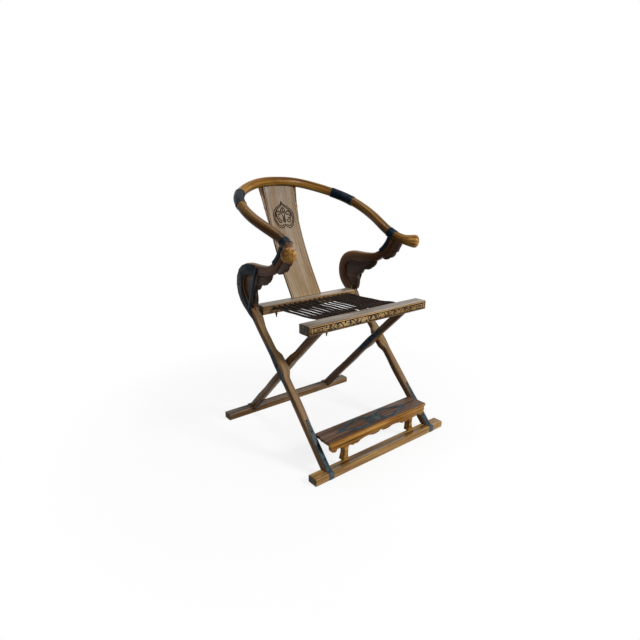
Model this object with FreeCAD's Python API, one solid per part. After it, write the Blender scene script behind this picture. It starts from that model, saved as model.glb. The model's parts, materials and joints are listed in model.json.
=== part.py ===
import FreeCAD, Part
import math
import os

Vector = FreeCAD.Vector
x_axis = Vector(1, 0, 0)
y_axis = Vector(0, 1, 0)
z_axis = Vector(0, 0, 1)

# Folding horseshoe chair. Millimetres, +Z up, the sitter looks along -Y.
# While modelling, Y is measured from halfway between the two foot rails.

# Fits
joint_clearance = 0.2
seat_gap = 0.3
pin_clearance = 0.05
turning_gap = 0.4

# Foot rails
foot_rail_length = 700.0
foot_rail_width = 46.0
foot_rail_height = 28.0
foot_rail_round = 4.0
feet_apart = 625.0

# Scissor pivot
pivot_y = -10.0
pivot_height = 345.0
pivot_pin_radius = 6.0
pivot_head_radius = 10.0
pivot_head_height = 4.0
pivot_head_sides = 12
washer_thickness = 2.6
washer_radius = 13.0

# Outer legs
outer_leg_x = 279.0
outer_leg_thickness = 30.0
outer_leg_width = 30.0
inner_leg_x = 221.0
inner_leg_thickness = 25.0
inner_leg_width = 31.0
leg_corner = 6.0
tenon_thickness = 12.0
tenon_width = 18.0
tenon_depth = 22.0

# Seat rails
front_rail_length = 612.0
front_rail_width = 58.0
front_rail_height = 37.0
front_rail_y = -209.0
front_joint_behind = 17.0
front_rail_top = 561.0
rear_rail_width = 60.0
rear_rail_height = 38.0
rear_rail_y = 170.0
rear_rail_top = 546.0
seat_rail_round = 5.0
rail_flare = 12.0

# Crest rail
crest_height = 1034.0
crest_back_y = 394.0
crest_half_width = 302.0
crest_radius = 20.0
crest_sides = 16
arm_end_y = -159.0
arm_end_height = 794.0
knob_radius = 27.0
knob_length = 70.0
scarf_from_middle = 330.0
scarf_spare = 3.0
sleeve_length = 118.0
gooseneck_from_end = 116.0
gooseneck_tenon_radius = 7.0

# Back splat
splat_bottom_width = 158.0
splat_top_width = 160.0
splat_thickness = 12.0
splat_hollow = 24.0
splat_head_behind = 8.0
splat_tongue = 9.0
splat_shoulder = 12.0
splat_tenon_depth = 16.0
splat_set_back = 10.0
spandrel_drop = 172.0
spandrel_width = 21.0
spandrel_thickness = 6.0

# Iron mounts
iron_thickness = 1.6
collar_length = 32.0
collar_behind = 8.0
collar_strap_flange = 17.0
foot_strap_width = 21.0
foot_strap_tip = 9.0
foot_strap_taper = 60.0
foot_strap_height = 150.0
pivot_plate_length = 190.0
pivot_plate_width = 23.0
gooseneck_plate_margin = 2.0
brace_width = 13.0
brace_thickness = 4.0
brace_foot_behind = 6.0
brace_foot_above = 24.0
nail_radius = 3.2
nail_height = 1.6

# Brackets
bracket_thickness = 15.0
bracket_lobe = 5.0
bracket_nick = 3.0
bracket_tip_lobe = 7.0

# Seat lacing
lacing_holes = 16
lacing_from_leg = 9.0
lacing_hole_radius = 6.5
lacing_mouth_drop = 14.0
cord_radius = 2.2
cord_spacing = 2.35
knot_radius = 5.5
knot_height = 20.0

# Footrest
footrest_top = 128.0
footrest_thickness = 11.0
footrest_length = 534.0
footrest_depth = 91.0
footrest_notch_room = 10.0
footrest_pin_radius = 3.0
footrest_pin_reach = 12.0
footrest_pin_ahead = 8.0
apron_height = 34.0
apron_thickness = 11.0
apron_inset = 6.0
footrest_foot_from_end = 85.0
footrest_foot_depth = 26.0
footrest_foot_half_width = 18.0
footrest_foot_bow = 3.0
inlay_from_end = 66.0
inlay_band = 13.0
inlay_thickness = 1.0
inlay_margin = 4.0

# Places worked out from the sizes above
pivot = Vector(0, pivot_y, pivot_height)
outer_foot = Vector(0, -feet_apart / 2, foot_rail_height / 2)
inner_foot = Vector(0, feet_apart / 2, foot_rail_height / 2)
outer_leg_inside = outer_leg_x - outer_leg_thickness / 2
outer_leg_outside = outer_leg_x + outer_leg_thickness / 2
inner_leg_inside = inner_leg_x - inner_leg_thickness / 2
inner_leg_outside = inner_leg_x + inner_leg_thickness / 2
washer_room = washer_thickness + 2 * turning_gap
pivot_swell = (outer_leg_inside - inner_leg_outside - washer_room) / 2
rear_joint = Vector(0, rear_rail_y, rear_rail_top - rear_rail_height * 0.75)
front_joint = Vector(0, front_rail_y + front_joint_behind, front_rail_top - front_rail_height)
front_rail_back = front_rail_y + front_rail_width / 2
rear_rail_front = rear_rail_y - rear_rail_width / 2
front_rail_under = front_rail_top - front_rail_height
rear_rail_under = rear_rail_top - rear_rail_height
lacing_half = inner_leg_inside - lacing_from_leg
lacing_pitch = 2 * lacing_half / (lacing_holes - 1)
scarf_length = sleeve_length / 3
scarf_reach = scarf_length + 2 * crest_radius
outer_lean = (pivot.y - outer_foot.y) / (pivot.z - outer_foot.z)
inner_lean = (pivot.y - inner_foot.y) / (pivot.z - inner_foot.z)
outer_face = outer_leg_width / 2 * math.sqrt(1 + outer_lean ** 2)
footrest_under = footrest_top - footrest_thickness
footrest_pin_z = footrest_top - footrest_thickness / 2
footrest_pin_y = outer_foot.y + outer_lean * (footrest_pin_z - outer_foot.z) - footrest_pin_ahead
footrest_rear_y = footrest_pin_y + footrest_pin_ahead
footrest_front_y = footrest_rear_y - footrest_depth
footrest_notch_y = footrest_pin_y - outer_face - footrest_notch_room
footrest_foot_x = footrest_length / 2 - footrest_foot_from_end
inlay_half_length = footrest_length / 2 - inlay_from_end
far = 2 * crest_height

# The finished chair is moved so that its box is centred on Y
box_front = -feet_apart / 2 - foot_rail_width / 2 - seat_gap - iron_thickness
box_back = crest_back_y + crest_radius * math.cos(math.pi / crest_sides)
home = Vector(0, -(box_front + box_back) / 2, 0)

os.makedirs("parts", exist_ok=True)


def export(name, shape):
    placed = shape.copy()
    placed.translate(home)
    placed.exportStep("parts/" + name + ".step")


def mirrored(shape):
    return shape.mirror(Vector(0, 0, 0), x_axis)


def export_pair(name, shape):
    export(name + "_left", shape)
    export(name + "_right", mirrored(shape))


# Equal pieces on both sides of the chair share one file
def export_both(name, shapes):
    export(name, Part.Compound(shapes + [mirrored(shape) for shape in shapes]))


def box(x0, x1, y0, y1, z0, z1):
    return Part.makeBox(x1 - x0, y1 - y0, z1 - z0, Vector(x0, y0, z0))


# A closed plane outline in Y and Z, given as points, made solid from x0 to x1
def slab(points, x0, x1):
    corners = [Vector(x0, y, z) for y, z in points]
    return flat_face(corners).extrude(Vector(x1 - x0, 0, 0))


def rounded_bar(x0, x1, y0, y1, z0, z1, radius):
    bar = box(x0, x1, y0, y1, z0, z1)
    along = [e for e in bar.Edges if abs(e.tangentAt(e.FirstParameter).x) > 0.9]
    return bar.makeFillet(radius, along)


def smooth_curve(points):
    lengths = [0.0]
    for a, b in zip(points, points[1:]):
        lengths.append(lengths[-1] + (b - a).Length)
    curve = Part.BSplineCurve()
    curve.interpolate(Points=points, Parameters=lengths)
    return curve, lengths


# A solid through rings of points, with flat faces: four-cornered where a face lies flat, else halved
def skin(rings):
    faces = [flat_face(rings[0]), flat_face(rings[-1])]
    for near, far in zip(rings, rings[1:]):
        for k in range(len(near)):
            a, b = near[k - 1], near[k]
            c, d = far[k], far[k - 1]
            twist = abs((b - a).cross(d - a).dot(c - a))
            if twist < 1e-6 * (b - a).Length * (d - a).Length:
                faces.append(flat_face([a, b, c, d]))
            else:
                faces += [flat_face([a, b, c]), flat_face([a, c, d])]
    shell = Part.makeShell(faces)
    shell.sewShape()
    solid = Part.makeSolid(shell)
    if solid.Volume < 0:
        solid.reverse()
    return solid


def flat_face(points):
    return Part.Face(Part.makePolygon(points + points[:1]))


# A rectangle with cut corners across a path, reaching s0..s1 along side and t0..t1 along top
def cut_section(centre, side, top, s0, s1, t0, t1, corner):
    ring = [(s0 + corner, t0), (s1 - corner, t0), (s1, t0 + corner), (s1, t1 - corner),
            (s1 - corner, t1), (s0 + corner, t1), (s0, t1 - corner), (s0, t0 + corner)]
    return [centre + side * s + top * t for s, t in ring]


# A ring of equal sides around a centre, its plane given by two directions
def even_ring(centre, side, top, radius, count):
    points = []
    for k in range(count):
        turn = math.pi * (2 * k + 1) / count
        points.append(centre + side * (radius * math.cos(turn)) + top * (radius * math.sin(turn)))
    return points


# A leg sawn from a plank: stations are (y, z, width in the plank, swelling sideways)
class Leg:
    def __init__(self, stations, middle_x, thickness, swell_side, bends_from):
        self.middle_x = middle_x
        self.half = thickness / 2
        self.swell_side = swell_side
        points = [Vector(middle_x, y, z) for y, z, width, swell in stations]
        self.path, self.marks = smooth_curve(points)
        self.sizes = Part.BSplineCurve()
        sizes = [Vector(row[2], row[3], mark) for row, mark in zip(stations, self.marks)]
        self.sizes.interpolate(Points=sizes, Parameters=self.marks)
        self.stops = []
        for k, mark in enumerate(self.marks):
            if k > bends_from:
                self.stops.append((mark + self.marks[k - 1]) / 2)
            self.stops.append(mark)

    # Centre, direction towards the front of the plank, width and swelling at a place
    def frame(self, mark):
        tangent = self.path.tangent(mark)[0]
        size = self.sizes.value(mark)
        return self.path.value(mark), tangent.cross(x_axis) * -1, size.x, max(size.y, 0.0)

    def solid(self):
        rings = []
        for stop in self.stops:
            centre, top, width, swell = self.frame(stop)
            inward = self.half + (swell if self.swell_side < 0 else 0)
            outward = self.half + (swell if self.swell_side > 0 else 0)
            rings.append(cut_section(centre, x_axis, top, -inward, outward,
                                     -width / 2, width / 2, leg_corner))
        return skin(rings)

    def stops_between(self, first, last):
        return [s for s in self.stops if self.marks[first] - 0.01 < s < self.marks[last] + 0.01]

    # An iron channel over the back edge of the leg, its flanges lying on both faces
    def channel(self, first, last, flange):
        rings = []
        bare = self.half + seat_gap
        clad = bare + iron_thickness
        for stop in self.stops_between(first, last):
            centre, top, width, swell = self.frame(stop)
            back = width / 2 + seat_gap
            crown = back + iron_thickness
            ends = width / 2 - flange
            ring = [(-clad, ends), (-clad, crown), (clad, crown), (clad, ends),
                    (bare, ends), (bare, back), (-bare, back), (-bare, ends)]
            rings.append([centre + x_axis * a - top * b for a, b in ring])
        return skin(rings)

    # The band of the plank's own face between two stations, kept in from its edges, with a tail below
    def face_band(self, first, last, margin, x0, x1):
        front = []
        back = []
        tail = self.path.value((self.marks[first] + self.marks[first - 1]) / 2)
        for stop in self.stops_between(first, last):
            centre, top, width, swell = self.frame(stop)
            rear = centre - top * (width / 2 - margin)
            fore = centre + top * (width / 2 - margin)
            back.append((rear.y, rear.z))
            front.append((fore.y, fore.z))
        return slab(front + back[::-1] + [(tail.y, tail.z)], x0, x1)


def between(a, b, share):
    return a + (b - a) * share


# The horseshoe's centre line, given as shares of its half width, depth and fall
horseshoe = [
    (0.000, 1.000, 1.000),
    (0.308, 0.987, 0.979),
    (0.593, 0.929, 0.897),
    (0.825, 0.830, 0.785),
    (0.960, 0.689, 0.649),
    (1.000, 0.538, 0.496),
    (0.964, 0.380, 0.339),
    (0.907, 0.232, 0.182),
    (0.940, 0.114, 0.056),
    (1.113, 0.000, 0.000),
]


def crest_edge():
    half = []
    for across, back, up in horseshoe:
        half.append(Vector(across * crest_half_width,
                           between(arm_end_y, crest_back_y, back),
                           between(arm_end_height, crest_height, up)))
    other = [Vector(-p.x, p.y, p.z) for p in half[:0:-1]]
    curve, lengths = smooth_curve(other + half)
    return curve.toShape()


crest_line = crest_edge()
crest_half_length = crest_line.Length / 2


# Distances along the crest rail are measured from the middle of the back
def crest_at(distance):
    u = crest_line.getParameterByLength(crest_half_length + distance)
    return crest_line.valueAt(u), crest_line.tangentAt(u)


# The arms swell to a rounded knob at their ends
def crest_radius_at(distance):
    left = crest_half_length - abs(distance)
    if left >= knob_length:
        return crest_radius
    rise = (knob_length - left) / knob_length
    swell = crest_radius + (knob_radius - crest_radius) * math.sin(min(rise * 1.25, 1.0) * math.pi / 2)
    dome = max(0.0, rise - 0.8) / 0.2
    return swell * math.sqrt(1 - (0.9 * dome) ** 2)


def steps(first, last, count):
    return [first + (last - first) * k / count for k in range(count + 1)]


collar_middle = crest_half_length - gooseneck_from_end - collar_behind


# Places along the crest rail where its faces may turn
def crest_marks():
    collar = [collar_middle - collar_length / 2, collar_middle, collar_middle + collar_length / 2]
    knob = [crest_half_length - knob_length * share for share in (1.0, 0.75, 0.5, 0.2, 0.12, 0.06, 0.02)]
    spacing = scarf_length
    run = []
    place = scarf_from_middle - spacing * (math.floor(scarf_from_middle / spacing) - 0.5)
    while place < collar[0] - spacing / 2:
        run.append(place)
        place += spacing
    marks = run + collar + knob
    return sorted(marks + [0.0] + [-m for m in marks])


# A piece of the rail between two distances, or a tube around it
def crest_tube(first, last, extra):
    rings = []
    inside = [m for m in crest_marks() if first + 1 < m < last - 1]
    for distance in [first] + inside + [last]:
        centre, tangent = crest_at(distance)
        side = tangent.cross(z_axis).normalize()
        radius = crest_radius_at(distance) + extra
        rings.append(even_ring(centre, side, side.cross(tangent), radius, crest_sides))
    return skin(rings)


arm_joint = crest_at(crest_half_length - gooseneck_from_end)[0]
whole_arm = crest_tube(scarf_from_middle - scarf_length / 2, crest_half_length, 0.0)

# The gooseneck, as shares of the way from the seat joint to the arm, and its width
gooseneck = [
    (-0.100, 0.070, 38.0),
    (-0.257, 0.180, 45.0),
    (-0.345, 0.354, 46.0),
    (-0.270, 0.525, 46.0),
    (-0.066, 0.603, 46.0),
    (0.177, 0.612, 44.0),
    (0.398, 0.620, 42.0),
    (0.597, 0.652, 38.0),
    (0.752, 0.725, 34.0),
    (0.876, 0.823, 30.0),
    (0.956, 0.925, 28.0),
    (0.990, 1.000, 28.0),
]


def outer_leg_stations():
    rows = []
    for share in (0.0, 0.4, 0.76):
        p = between(outer_foot, pivot, share)
        rows.append((p.y, p.z, outer_leg_width, 0.0))
    for share, swell in ((0.87, 0.25), (1.0, 1.0)):
        p = between(outer_foot, pivot, share)
        rows.append((p.y, p.z, outer_leg_width + 3 * swell, pivot_swell * swell))
    for share, swell in ((0.22, 0.25), (0.42, 0.0), (0.68, 0.12)):
        p = between(pivot, rear_joint, share)
        rows.append((p.y, p.z, outer_leg_width, pivot_swell * swell))
    rows.append((rear_joint.y, rear_joint.z, outer_leg_width, rail_flare))
    for along, up, width in gooseneck:
        y = between(rear_joint.y, arm_joint.y, along)
        z = between(rear_joint.z, arm_joint.z, up)
        rows.append((y, z, width, 0.0))
    return rows


def inner_leg_stations():
    rows = []
    for share in (0.0, 0.4, 0.76):
        p = between(inner_foot, pivot, share)
        rows.append((p.y, p.z, inner_leg_width, 0.0))
    for share, swell in ((0.87, 0.25), (1.0, 1.0)):
        p = between(inner_foot, pivot, share)
        rows.append((p.y, p.z, inner_leg_width + 3 * swell, pivot_swell * swell))
    for share, swell in ((0.22, 0.25), (0.42, 0.0), (0.7, 0.0), (1.0, 0.0), (1.1, 0.0)):
        p = between(pivot, front_joint, share)
        rows.append((p.y, p.z, inner_leg_width, pivot_swell * swell))
    return rows


seat_station = len(outer_leg_stations()) - len(gooseneck) - 1
neck_top = seat_station + 6
neck_arm = seat_station + len(gooseneck)
outer_leg = Leg(outer_leg_stations(), outer_leg_x, outer_leg_thickness, -1, seat_station)
inner_leg = Leg(inner_leg_stations(), inner_leg_x, inner_leg_thickness, 1, len(inner_leg_stations()))


def pin_hole(x0, x1, centre, radius):
    return Part.makeCylinder(radius, x1 - x0, Vector(x0, centre.y, centre.z), x_axis)


# Tenon that stands in a foot rail under a leg
def foot_tenon(middle_x, foot, lean, grow):
    y = foot.y + lean * foot_rail_height / 2
    half_x = tenon_thickness / 2 + grow
    half_y = tenon_width / 2 + grow
    return box(middle_x - half_x, middle_x + half_x, y - half_y, y + half_y,
               foot_rail_height - tenon_depth - grow, foot_rail_height)


below_floor = box(-far, far, -far, far, -far, foot_rail_height)


def arm_tenon(radius, length):
    start = arm_joint - z_axis * crest_radius
    return Part.makeCylinder(radius, length, start, z_axis)


def rear_rail_tenon(grow):
    half_y = rear_rail_width * 0.3 + grow
    half_z = rear_rail_height * 0.3 + grow
    z = rear_rail_top - rear_rail_height / 2
    inside = outer_leg_inside - rail_flare
    return box(inside, inside + tenon_depth + grow, rear_rail_y - half_y * 0.5, rear_rail_y + half_y * 0.5,
               z - half_z, z + half_z)


def make_outer_leg():
    leg = outer_leg.solid().cut(below_floor).cut(whole_arm)
    leg = leg.fuse(foot_tenon(outer_leg_x, outer_foot, outer_lean, 0.0))
    neck = arm_tenon(gooseneck_tenon_radius, crest_radius).cut(leg)
    leg = leg.fuse(neck)
    holes = [pin_hole(outer_leg_inside - pivot_swell - 1, outer_leg_outside + 1, pivot,
                      pivot_pin_radius + pin_clearance),
             footrest_pin(pin_clearance)]
    rail_space = rear_rail_blank().fuse(rear_rail_tenon(joint_clearance))
    return leg.cut(rail_space).cut(Part.Compound(holes)).removeSplitter()


def make_inner_leg():
    above_rail = box(-far, far, -far, far, front_joint.z, far)
    leg = inner_leg.solid().cut(below_floor).cut(above_rail)
    leg = leg.fuse(foot_tenon(inner_leg_x, inner_foot, inner_lean, 0.0))
    leg = leg.fuse(front_rail_tenon(0.0))
    hole = pin_hole(inner_leg_inside - 1, inner_leg_outside + pivot_swell + 1, pivot,
                    pivot_pin_radius + pin_clearance)
    return leg.cut(hole)


def front_rail_tenon(grow):
    half_x = tenon_thickness / 2 + grow
    half_y = tenon_width / 2 + grow
    y = front_rail_y
    return box(inner_leg_x - half_x, inner_leg_x + half_x, y - half_y, y + half_y,
               front_joint.z, front_joint.z + tenon_depth + grow)


def make_foot_rail(foot, lean, leg_x):
    half = foot_rail_length / 2
    y0 = foot.y - foot_rail_width / 2
    rail = rounded_bar(-half, half, y0, y0 + foot_rail_width, 0, foot_rail_height, foot_rail_round)
    mortise = foot_tenon(leg_x, foot, lean, joint_clearance)
    return rail.cut(mortise).cut(mirrored(mortise))


# Lacing holes run slantwise from the inner face of a seat rail to its underside
def lacing_hole(x, mouth, inward):
    along = Vector(0, inward, -1).normalize()
    start = mouth + x_axis * x - along * (2 * lacing_hole_radius)
    ring = even_ring(start, x_axis, along.cross(x_axis), lacing_hole_radius, 8)
    return flat_face(ring).extrude(along * (2 * front_rail_width))


def lacing_places():
    return [lacing_pitch * k - lacing_half for k in range(lacing_holes)]


front_mouth = Vector(0, front_rail_back, front_rail_top - lacing_mouth_drop)
rear_mouth = Vector(0, rear_rail_front, rear_rail_top - lacing_mouth_drop)


def make_front_rail():
    half = front_rail_length / 2
    y0 = front_rail_y - front_rail_width / 2
    z0 = front_rail_top - front_rail_height
    rail = rounded_bar(-half, half, y0, y0 + front_rail_width, z0, front_rail_top, seat_rail_round)
    mortise = front_rail_tenon(joint_clearance)
    cuts = [mortise, mirrored(mortise)]
    cuts += [lacing_hole(x, front_mouth, -1) for x in lacing_places()]
    return rail.cut(Part.Compound(cuts))


def rear_rail_blank():
    half = outer_leg_inside - rail_flare
    y0 = rear_rail_y - rear_rail_width / 2
    z0 = rear_rail_top - rear_rail_height
    return rounded_bar(-half, half, y0, y0 + rear_rail_width, z0, rear_rail_top, seat_rail_round)


def make_rear_rail():
    tenon = rear_rail_tenon(0.0)
    rail = rear_rail_blank().fuse([tenon, mirrored(tenon)])
    cuts = [lacing_hole(x, rear_mouth, 1) for x in lacing_places()]
    cuts.append(splat_tenon(joint_clearance))
    return rail.cut(Part.Compound(cuts))


# A block in the scarf's own directions: distance along the rail, and height above its middle
def scarf_block(x0, x1, z0, z1):
    centre, tangent = crest_at(scarf_from_middle)
    across = z_axis.cross(tangent).normalize()
    top = tangent.cross(across)
    block = box(x0, x1, -scarf_reach, scarf_reach, z0, z1)
    turn = FreeCAD.Matrix(tangent.x, across.x, top.x, centre.x,
                          tangent.y, across.y, top.y, centre.y,
                          tangent.z, across.z, top.z, centre.z,
                          0, 0, 0, 1)
    block.Placement = FreeCAD.Placement(turn)
    return block


# The middle keeps the upper half of the lap, each arm the lower half
def make_crest_middle():
    lap = scarf_length / 2
    end = scarf_from_middle + lap + scarf_spare
    rail = crest_tube(-end, end, 0.0)
    below = scarf_block(-lap, scarf_reach, -scarf_reach, 0)
    beyond = scarf_block(lap, scarf_reach, -scarf_reach, scarf_reach)
    for cut in (below, beyond):
        rail = rail.cut(cut).cut(mirrored(cut))
    return rail.cut(splat_tongue_solid(joint_clearance))


def make_crest_arm():
    lap = scarf_length / 2
    arm = crest_tube(scarf_from_middle - lap - scarf_spare, crest_half_length, 0.0)
    above = scarf_block(-scarf_reach, lap, 0, scarf_reach)
    before = scarf_block(-scarf_reach, -lap, -scarf_reach, scarf_reach)
    hole = arm_tenon(gooseneck_tenon_radius + joint_clearance, crest_radius + joint_clearance)
    return arm.cut(above).cut(before).cut(hole)


def crest_ring(middle, length):
    first = middle - length / 2
    last = middle + length / 2
    room = crest_tube(first - scarf_spare, last + scarf_spare, seat_gap)
    return crest_tube(first, last, seat_gap + iron_thickness).cut(room)


# The splat's middle surface leans back and is hollowed a little behind its chord
splat_foot = Vector(0, rear_rail_y + splat_set_back, rear_rail_top)
splat_head = Vector(0, crest_back_y + splat_head_behind, crest_height)
splat_length = (splat_head - splat_foot).Length


def splat_place(share):
    chord = splat_head - splat_foot
    behind = Vector(0, chord.z, -chord.y).normalize()
    return splat_foot + chord * share + behind * (splat_hollow * math.sin(math.pi * share))


def splat_frame(share):
    step = 0.01
    tangent = (splat_place(share + step) - splat_place(share - step)).normalize()
    return splat_place(share), tangent.cross(x_axis)


# A panel bent like the splat, between two side lines and two faces
def splat_panel(shares, inner, outer, rear, front):
    rings = []
    for share in shares:
        centre, forward = splat_frame(share)
        a = centre + x_axis * inner(share) - forward * front
        b = centre + x_axis * outer(share) - forward * front
        c = centre + x_axis * outer(share) + forward * rear
        d = centre + x_axis * inner(share) + forward * rear
        rings.append([a, b, c, d])
    return skin(rings)


def splat_half_width(share):
    return between(splat_bottom_width, splat_top_width, share) / 2


def splat_blank():
    half = splat_thickness / 2
    return splat_panel(steps(-0.03, 1.0, 12), lambda s: -splat_half_width(s), splat_half_width, half, half)


def splat_tenon(grow):
    half_x = splat_bottom_width / 2 - splat_shoulder + grow
    half_y = splat_thickness / 3 + grow
    return box(-half_x, half_x, splat_foot.y - half_y, splat_foot.y + half_y,
               splat_foot.z - splat_tenon_depth - grow, splat_foot.z)


def splat_tongue_solid(grow):
    top = 1 - (crest_radius - splat_tongue - grow) / splat_length
    low = 1 - 2 * crest_radius / splat_length
    half = splat_thickness / 3 + grow
    return splat_panel([low, (low + top) / 2, top],
                       lambda s: splat_shoulder - grow - splat_half_width(s),
                       lambda s: splat_half_width(s) - splat_shoulder + grow, half, half)


whole_crest_back = crest_tube(-splat_top_width, splat_top_width, 0.0)


def make_splat(crest):
    panel = splat_blank().cut(box(-far, far, -far, far, 0, rear_rail_top)).cut(crest)
    below = [part for part in panel.Solids if part.BoundBox.ZMin < rear_rail_top + 1]
    return below[0].fuse(splat_tongue_solid(0.0)).fuse(splat_tenon(0.0))


# Shaped strip beside the upper splat: full under the rail, stepping in towards its foot
def make_spandrel(crest):
    foot = 1 - (spandrel_drop + crest_radius) / splat_length
    profile = [(0.0, 0.02), (0.06, 0.10), (0.12, 0.18), (0.23, 0.27), (0.34, 0.34), (0.40, 0.48),
               (0.46, 0.45), (0.58, 0.58), (0.70, 0.74), (0.80, 0.87), (0.88, 0.94), (1.0, 1.0)]
    shares = [between(foot, 1.0, along) for along, out in profile]
    outs = dict(zip(shares, [out for along, out in profile]))
    half = spandrel_thickness / 2
    strip = splat_panel(shares, splat_half_width,
                        lambda s: splat_half_width(s) + spandrel_width * outs[s], half + 1, half - 1)
    strip = strip.cut(splat_blank()).cut(crest)
    return max(strip.Solids, key=lambda part: part.Volume)


def leg_point(x, along, up):
    return Vector(x, between(rear_joint.y, arm_joint.y, along), between(rear_joint.z, arm_joint.z, up))


# An outline of arcs between cusps, each bowed out to the left of its chord
def lobes(cusps, bulges, facing):
    edges = []
    for a, b, bulge in zip(cusps, cusps[1:], bulges):
        chord = b - a
        out = chord.cross(facing).normalize() * -bulge
        if bulge == 0:
            edges.append(Part.LineSegment(a, b).toShape())
        else:
            edges.append(Part.Arc(a, (a + b) * 0.5 + out, b).toShape())
    return edges


# Scalloped bracket in the hollow of the gooseneck, drawn as lobes between cusps
def make_gooseneck_bracket(leg):
    x = outer_leg_x - bracket_thickness / 2
    cusps = [leg_point(x, along, up) for along, up in (
        (0.09, 0.10), (0.12, 0.27), (0.13, 0.34), (0.235, 0.385), (0.33, 0.435), (0.46, 0.465),
        (0.60, 0.60))]
    hidden = [leg_point(x, along, up) for along, up in (
        (0.2, 0.64), (-0.3, 0.55), (-0.33, 0.3), (-0.05, 0.08))]
    bows = [bracket_lobe, -bracket_nick, bracket_lobe, -bracket_nick, bracket_lobe, bracket_tip_lobe]
    edges = lobes(cusps, bows, x_axis)
    edges += lobes([cusps[-1]] + hidden + [cusps[0]], [0] * 5, x_axis)
    blank = Part.Face(Part.Wire(edges)).extrude(x_axis * bracket_thickness)
    return max(blank.cut(leg).Solids, key=lambda part: part.Volume)


# Stepped bracket in front of the gooseneck, under the arm
def make_arm_bracket(leg, arm):
    x = outer_leg_x - bracket_thickness / 2
    steps_down = [(-50, -10), (-44, -38), (-25, -71), (-13, -76), (13, -101), (23, -103), (39, -111),
                  (52, -108)]
    cusps = [Vector(x, arm_joint.y + ahead, arm_joint.z + up) for ahead, up in steps_down]
    hidden = [leg_point(x, 0.75, 0.75), leg_point(x, 0.98, 0.97)]
    edges = lobes(cusps, [0, bracket_nick / 2, 0, -bracket_lobe, 0, -bracket_nick, 0], x_axis)
    edges += lobes([cusps[-1]] + hidden + [cusps[0]], [0] * 3, x_axis)
    blank = Part.Face(Part.Wire(edges)).extrude(x_axis * bracket_thickness)
    return max(blank.cut(leg).cut(arm).Solids, key=lambda part: part.Volume)


def make_gooseneck_plate():
    x0 = outer_leg_outside + seat_gap
    return outer_leg.face_band(seat_station, neck_top, gooseneck_plate_margin, x0, x0 + iron_thickness)


# Straight bar across the mouth of the gooseneck, with blunt pointed ends
def make_brace(plate):
    x0 = outer_leg_outside + seat_gap
    low = Vector(x0, rear_joint.y + brace_foot_behind, rear_joint.z + brace_foot_above)
    high = leg_point(x0, 0.235, 0.63)
    along = (high - low).normalize()
    across = along.cross(x_axis) * (brace_width / 2)
    tip = along * (brace_width / 2)
    outline = [low + across, high + across, high + across * 0.5 + tip, high - across * 0.5 + tip,
               high - across, low - across, low - across * 0.5 - tip, low + across * 0.5 - tip]
    bar = flat_face(outline).extrude(x_axis * (brace_thickness + iron_thickness))
    return bar.cut(plate)


# Ring round the arm with a strap that runs down the back of the gooseneck
def make_arm_collar(leg):
    ring = crest_ring(collar_middle, collar_length).cut(leg)
    strap = outer_leg.channel(neck_arm - 3, neck_arm, collar_strap_flange)
    reach = collar_length
    strap = strap.cut(crest_tube(collar_middle - reach, collar_middle + reach, seat_gap))
    strap = min(strap.Solids, key=lambda part: part.BoundBox.ZMin)
    return ring.fuse(strap)


# Plate over a pivot, narrowing to both ends, lying along its leg
def make_pivot_plate(foot, face_x, outward):
    along = (pivot - foot).normalize()
    across = along.cross(x_axis)
    x0 = face_x + outward * seat_gap
    middle = Vector(x0, pivot.y, pivot.z)
    half = pivot_plate_length / 2
    wide = pivot_plate_width / 2
    ring = [(-1, 0.35), (-0.62, 0.78), (-0.2, 1), (0.2, 1), (0.62, 0.78), (1, 0.35), (1, -0.35),
            (0.62, -0.78), (0.2, -1), (-0.2, -1), (-0.62, -0.78), (-1, -0.35)]
    points = [middle + along * (half * a) + across * (wide * b) for a, b in ring]
    plate = flat_face(points).extrude(x_axis * (outward * iron_thickness))
    hole = pin_hole(x0 - pivot_head_radius, x0 + pivot_head_radius, pivot, pivot_pin_radius + pin_clearance)
    return plate.cut(hole)


# Pin with a riveted head at both ends
def make_pivot_pin():
    inner_end = pivot + x_axis * (inner_leg_inside - seat_gap - iron_thickness - turning_gap)
    outer_end = pivot + x_axis * (outer_leg_outside + seat_gap + iron_thickness)
    pin = pin_hole(inner_end.x, outer_end.x, pivot, pivot_pin_radius)
    for end, out in ((inner_end, x_axis * -1), (outer_end, x_axis)):
        crown = end + out * pivot_head_height
        head = skin([even_ring(end, y_axis, z_axis, pivot_head_radius, pivot_head_sides),
                     even_ring(crown, y_axis, z_axis, pivot_head_radius * 0.6, pivot_head_sides)])
        pin = pin.fuse(head)
    return pin


def make_pivot_washer():
    start = pivot + x_axis * (inner_leg_outside + pivot_swell + turning_gap)
    ring = flat_face(even_ring(start, y_axis, z_axis, washer_radius, pivot_head_sides))
    hole = pin_hole(start.x, start.x + washer_thickness, pivot, pivot_pin_radius + pin_clearance)
    return ring.extrude(x_axis * washer_thickness).cut(hole)


# A flat strip bent along points in Y and Z, thick towards its left side
def bent_strip(points, x0, x1):
    inner = [Vector(0, y, z) for y, z in points]
    runs = [(b - a).normalize() for a, b in zip(inner, inner[1:])]
    outer = []
    for p, behind, ahead in zip(inner, runs[:1] + runs, runs + runs[-1:]):
        left = ahead.cross(x_axis)
        bisector = (left + behind.cross(x_axis)).normalize()
        outer.append(p + bisector * (iron_thickness / bisector.dot(left)))
    return slab([(p.y, p.z) for p in inner + outer[::-1]], x0, x1)


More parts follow.
